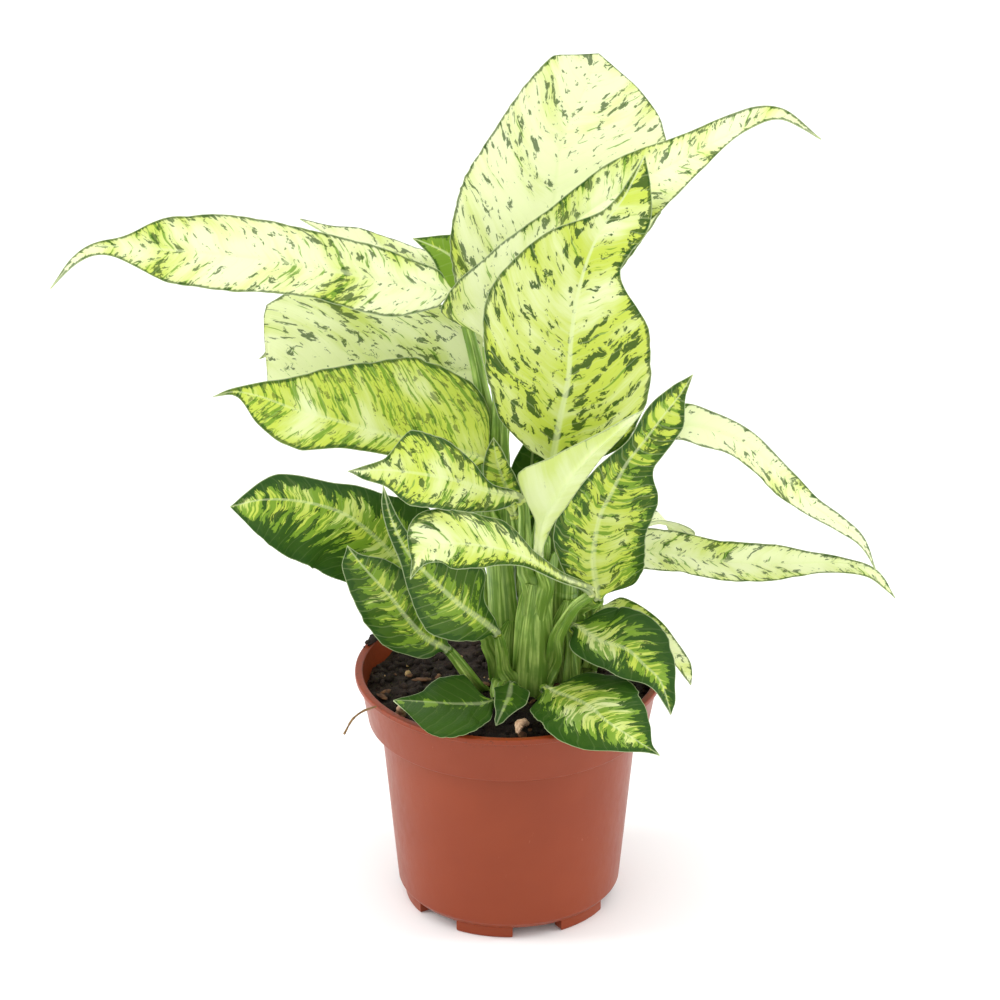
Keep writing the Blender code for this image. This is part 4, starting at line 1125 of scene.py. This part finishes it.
def soil_skin(plant):
    """Peat compost, damp and crumbled: matt, almost black where wet, browner on dry crumbs."""
    made, tree = new_material("compost_peat_crumbled")
    add = partial(node, tree)
    at = add("TexCoord", {}, "Object")
    crumbs = add("TexNoise", {"Vector": at, "Scale": 900.0, "Detail": 5.0, "Roughness": 0.65})
    dry = add("TexNoise", {"Vector": at, "Scale": 120.0, "Detail": 3.0})
    share = add("MapRange", {0: crumbs, 1: 0.35, 2: 0.7})
    tint = add("Mix", {0: share, 6: plant.compost, 7: linear("#33231A")}, 2, data_type="RGBA")
    share = add("MapRange", {0: dry, 1: 0.55, 2: 0.72, 4: 0.5})
    tint = add("Mix", {0: share, 6: tint, 7: linear("#453023")}, 2, data_type="RGBA")
    normal = add("Bump", {"Height": crumbs, "Distance": 0.0012, "Strength": 1.0})
    skin = add("BsdfPrincipled", {"Base Color": tint, "Roughness": 0.92, "IOR": 1.45,
                                  "Normal": normal})
    add("OutputMaterial", {"Surface": skin})
    return made


def bit_skin(name, low, high, rough, scale):
    """Plant debris, dried and broken: matt, with fibres of lighter and darker brown."""
    made, tree = new_material(name)
    add = partial(node, tree)
    at = add("TexCoord", {}, "Object")
    fibres = add("TexNoise", {"Vector": at, "Scale": scale, "Detail": 4.0, "Roughness": 0.6})
    share = add("MapRange", {0: fibres, 1: 0.3, 2: 0.7})
    tint = add("Mix", {0: share, 6: linear(low), 7: linear(high)}, 2, data_type="RGBA")
    normal = add("Bump", {"Height": fibres, "Distance": 0.0004, "Strength": 0.8})
    skin = add("BsdfPrincipled", {"Base Color": tint, "Roughness": rough, "IOR": 1.45,
                                  "Normal": normal})
    add("OutputMaterial", {"Surface": skin})
    return made


def build_soil(skin):
    rows, columns = 56, 280
    edge = COLLAR_TOP_RADIUS - WALL - 0.9
    points = [(0, 0, soil_height(0, 0))]
    for i in range(1, rows + 1):
        r = edge * i / rows
        for j in range(columns):
            a = 2 * math.pi * j / columns
            x, y = r * math.cos(a), r * math.sin(a)
            points.append((x, y, soil_height(x, y)))
    knee = POT_HEIGHT - COLLAR_DROP
    for r, z in ((COLLAR_FOOT_RADIUS - WALL - 0.6, knee + 3.2),
                 (WALL_TOP_RADIUS - WALL - 0.6, knee + 1.4),
                 (WALL_FOOT_RADIUS - WALL - 0.6, FLOOR_HEIGHT + 5),
                 (WALL_FOOT_RADIUS - 3.6, FLOOR_HEIGHT + FLOOR_THICK + GAP)):
        for j in range(columns):
            a = 2 * math.pi * j / columns
            points.append((r * math.cos(a), r * math.sin(a), z))
    faces = [(0, 1 + j, 1 + (j + 1) % columns) for j in range(columns)]
    faces += ring_faces(rows + 4, columns, 1)
    faces.append(tuple(range(len(points) - columns, len(points))))
    obj = add_piece("compost_body", points, faces, [skin], ("soil",), 80)
    face_outward(obj.data)
    return obj


def scatter(name, skin, seed, count, sizes, flat, where, lift=0.2, ground=soil_height):
    """Small irregular lumps lying on the ground, joined in one piece."""
    draw = random.Random(seed)
    made = bmesh.new()
    for _ in range(count):
        x, y = where(draw)
        size = draw.uniform(*sizes)
        shape = Vector((size * draw.uniform(0.7, 1.6), size * draw.uniform(0.6, 1), size * flat))
        turn = Matrix.Rotation(draw.uniform(0, 6.28), 4, "Z")
        turn = turn @ Matrix.Rotation(draw.gauss(0, 0.5), 4, "X")
        place = Matrix.Translation((AXIS.x + x, AXIS.y + y, ground(x, y) + lift * size))
        ball = bmesh.ops.create_icosphere(made, subdivisions=2, radius=0.5)
        for vert in ball["verts"]:
            bend = 1 + 0.45 * noise.noise(vert.co * 2.2 + Vector((x, y, size)))
            p = Vector(c * s for c, s in zip(vert.co * bend, shape))
            vert.co = (place @ turn @ p) * MM
    mesh = bpy.data.meshes.new(name)
    made.to_mesh(mesh)
    made.free()
    return dress_piece(name, mesh, [skin], (), 50)


def on_rim(draw):
    """A spot on the left of the pot's lip, where a pinch of compost was spilt."""
    a = math.radians(draw.gauss(157, 2.2))
    r = draw.uniform(56.8, 59.2)
    return r * math.cos(a), r * math.sin(a)


def on_soil(draw, reach=54.0):
    r, a = reach * math.sqrt(draw.random()), draw.uniform(0, 2 * math.pi)
    return r * math.cos(a), r * math.sin(a)


class DIEFF_OT_compost(bpy.types.Operator):
    """Builds the compost with its crumbs and bark"""
    bl_idname = "dieffenbachia.compost"
    bl_label = "Compost"

    def execute(self, context):
        soil = soil_skin(context.scene.dieffenbachia)
        bark = bit_skin("bark_chips_dried", "#3B2417", "#7A5436", 0.85, 700.0)
        pale = bit_skin("wood_fibre_dried", "#8C6B45", "#C8A878", 0.8, 900.0)
        build_soil(soil)
        scatter("compost_crumbs", soil, 5, 420, (1.2, 4.2), 0.8, on_soil)
        scatter("rim_crumbs", soil, 8, 46, (0.7, 2.4), 0.8, on_rim, 0.35,
                lambda x, y: POT_HEIGHT + 0.4)
        scatter("bark_chips", bark, 6, 60, (2.0, 5.5), 0.35, on_soil, 0.3)
        scatter("wood_fibres", pale, 7, 34, (0.8, 3.0), 0.35, on_soil, 0.4)
        return {"FINISHED"}


# Loose things


def lay_along(name, node_name, points, rows, radii, sides, skin):
    """A dead piece laid along a smooth line; radii is a function of distance and share."""
    line, run = smooth_line(points)
    q = np.linspace(0, line[-1], rows)
    tube_piece(name, on_line(line, run, q), radii(q, q / line[-1]), skin, sides,
               (node_name,))


def root_radii(q, share):
    return 0.42 + 0.08 * wander(q, 3)


def hook_radii(q, share):
    return np.interp(share, [0, 0.4, 0.8, 1], [1.4, 1.2, 1.1, 0.4]) * (1 + 0.12 * wander(q * 2, 4))


def husk_radii(q, share):
    """A flattened, crinkled husk, one row of radii for each section."""
    a = circle(28)
    radii = np.interp(share, [0, 0.35, 0.7, 1], [1.2, 2.6, 2.1, 0.5])[:, None]
    crinkle = 1 + 0.16 * np.sin(5 * a + 0.5 * q[:, None]) + 0.1 * wander(q * 1.5, 6)[:, None]
    return radii * crinkle * (1 - 0.45 * np.abs(np.sin(a)) ** 2)


def build_litter(root, husk):
    lay_along("root_fibre_dry", "root_fibre",
              [(-51, -33, 98), (-56, -36, 97.5), (-60, -40, 96), (-63, -46, 93)],
              60, root_radii, 12, root)
    lay_along("dry_hook_husk", "dry_hook",
              [(-41, -29, 92), (-42, -31, 96), (-40, -33, 99.5), (-37, -34, 98.5)],
              50, hook_radii, 16, husk)
    lay_along("dry_sheath_husk", "dry_sheath",
              [(5, -36, 92.5), (5, -41, 95), (4, -46, 97), (3, -50, 95.5)],
              60, husk_radii, 28, husk)


class DIEFF_OT_litter(bpy.types.Operator):
    """Builds the dead sheath, the hooked husk and the root on the rim"""
    bl_idname = "dieffenbachia.litter"
    bl_label = "Litter"

    def execute(self, context):
        build_litter(bit_skin("root_dried", "#5A4028", "#9A7A50", 0.8, 600.0),
                     bit_skin("leaf_sheath_dried", "#A07A5A", "#D2B394", 0.75, 500.0))
        return {"FINISHED"}


# Studio


# name, width and height, share of the key light, place, aim
SOFTBOXES = (
    ("softbox_top", (2.0, 2.0), 1.0, (-0.1, -0.3, 1.9), (0, 0, 0.15)),
    ("softbox_front", (1.6, 1.2), 0.5, (0.3, -2.0, 0.6), (0, 0, 0.15)),
    ("softbox_side", (0.5, 1.6), 1.4, (-1.3, -0.1, 0.6), (0, 0, 0.1)),
    ("softbox_side", (0.5, 1.6), 1.0, (1.3, -0.1, 0.6), (0, 0, 0.1)),
)


def area_light(name, size, power, place, aim):
    data = bpy.data.lights.new(name, "AREA")
    data.shape = "RECTANGLE"
    data.size, data.size_y = size
    data.energy = power
    obj = bpy.data.objects.new(name, data)
    obj.location = place
    obj.rotation_euler = (Vector(aim) - Vector(place)).to_track_quat("-Z", "Y").to_euler()
    bpy.context.scene.collection.objects.link(obj)


def build_floor(settings):
    """Painted board, rolled: matt white with a barely seen roller grain."""
    made, tree = new_material("floor_board_painted")
    add = partial(node, tree)
    at = add("TexCoord", {}, "Object")
    cloud = add("TexNoise", {"Vector": at, "Scale": 3.0, "Detail": 3.0})
    tint = add("Mix", {0: cloud, 6: settings.floor, 7: linear("#FAFAFA")}, 2, data_type="RGBA")
    skin = add("BsdfPrincipled", {"Base Color": tint, "Roughness": 0.7, "IOR": 1.45})
    add("OutputMaterial", {"Surface": skin})
    mesh = bpy.data.meshes.new("floor")
    corners = [(x * FLOOR_HALF, y * FLOOR_HALF, 0) for x, y in ((-1, -1), (1, -1), (1, 1), (-1, 1))]
    mesh.from_pydata(corners, [], [(0, 1, 2, 3)])
    mesh.materials.append(made)
    obj = bpy.data.objects.new("floor", mesh)
    bpy.context.scene.collection.objects.link(obj)


class DIEFF_OT_stage(bpy.types.Operator):
    """Sets the floor, the lights and the camera"""
    bl_idname = "dieffenbachia.stage"
    bl_label = "Studio"

    def execute(self, context):
        settings = context.scene.dieffenbachia_stage
        scene = context.scene
        build_floor(settings)
        world = bpy.data.worlds.new("white_room")
        world.use_nodes = True
        sky = world.node_tree.nodes["Background"]
        sky.inputs["Color"].default_value = (1, 1, 1, 1)
        sky.inputs["Strength"].default_value = settings.sky
        scene.world = world
        for name, size, share, place, aim in SOFTBOXES:
            area_light(name, size, settings.key * share, place, aim)
        scene.view_settings.view_transform = "Standard"
        data = bpy.data.cameras.new("camera")
        data.lens = settings.lens
        data.sensor_width = 36
        camera = bpy.data.objects.new("camera", data)
        aim = Vector((AXIS.x * MM + AIM_SHIFT, AXIS.y * MM, settings.aim_height))
        back = Vector((0, -math.cos(settings.elevation), math.sin(settings.elevation)))
        camera.location = aim + back * settings.distance
        camera.rotation_euler = (-back).to_track_quat("-Z", "Y").to_euler()
        scene.collection.objects.link(camera)
        scene.camera = camera
        return {"FINISHED"}


class DIEFF_PT_panel(bpy.types.Panel):
    """The steps that make the plant, in order"""
    bl_label = "Potted dieffenbachia"
    bl_idname = "DIEFF_PT_panel"
    bl_space_type = "VIEW_3D"
    bl_region_type = "UI"
    bl_category = "Dieffenbachia"

    def draw(self, context):
        for group in (context.scene.dieffenbachia, context.scene.dieffenbachia_stage):
            for key in group.__annotations__:
                self.layout.prop(group, key)
        for step_class in OPERATORS:
            self.layout.operator(step_class.bl_idname)


OPERATORS = (DIEFF_OT_pot, DIEFF_OT_compost, DIEFF_OT_stems, DIEFF_OT_leaves, DIEFF_OT_litter,
             DIEFF_OT_stage)
CLASSES = (DIEFF_PG_plant, DIEFF_PG_stage) + OPERATORS + (DIEFF_PT_panel,)


def register():
    for each in CLASSES:
        bpy.utils.register_class(each)
    bpy.types.Scene.dieffenbachia = PointerProperty(type=DIEFF_PG_plant)
    bpy.types.Scene.dieffenbachia_stage = PointerProperty(type=DIEFF_PG_stage)


def unregister():
    del bpy.types.Scene.dieffenbachia_stage
    del bpy.types.Scene.dieffenbachia
    for each in reversed(CLASSES):
        bpy.utils.unregister_class(each)


def main():
    register()
    steps = bpy.ops.dieffenbachia
    steps.pot()
    steps.compost()
    steps.stems()
    steps.leaves()
    steps.litter()
    steps.stage()


if __name__ == "__main__":
    main()
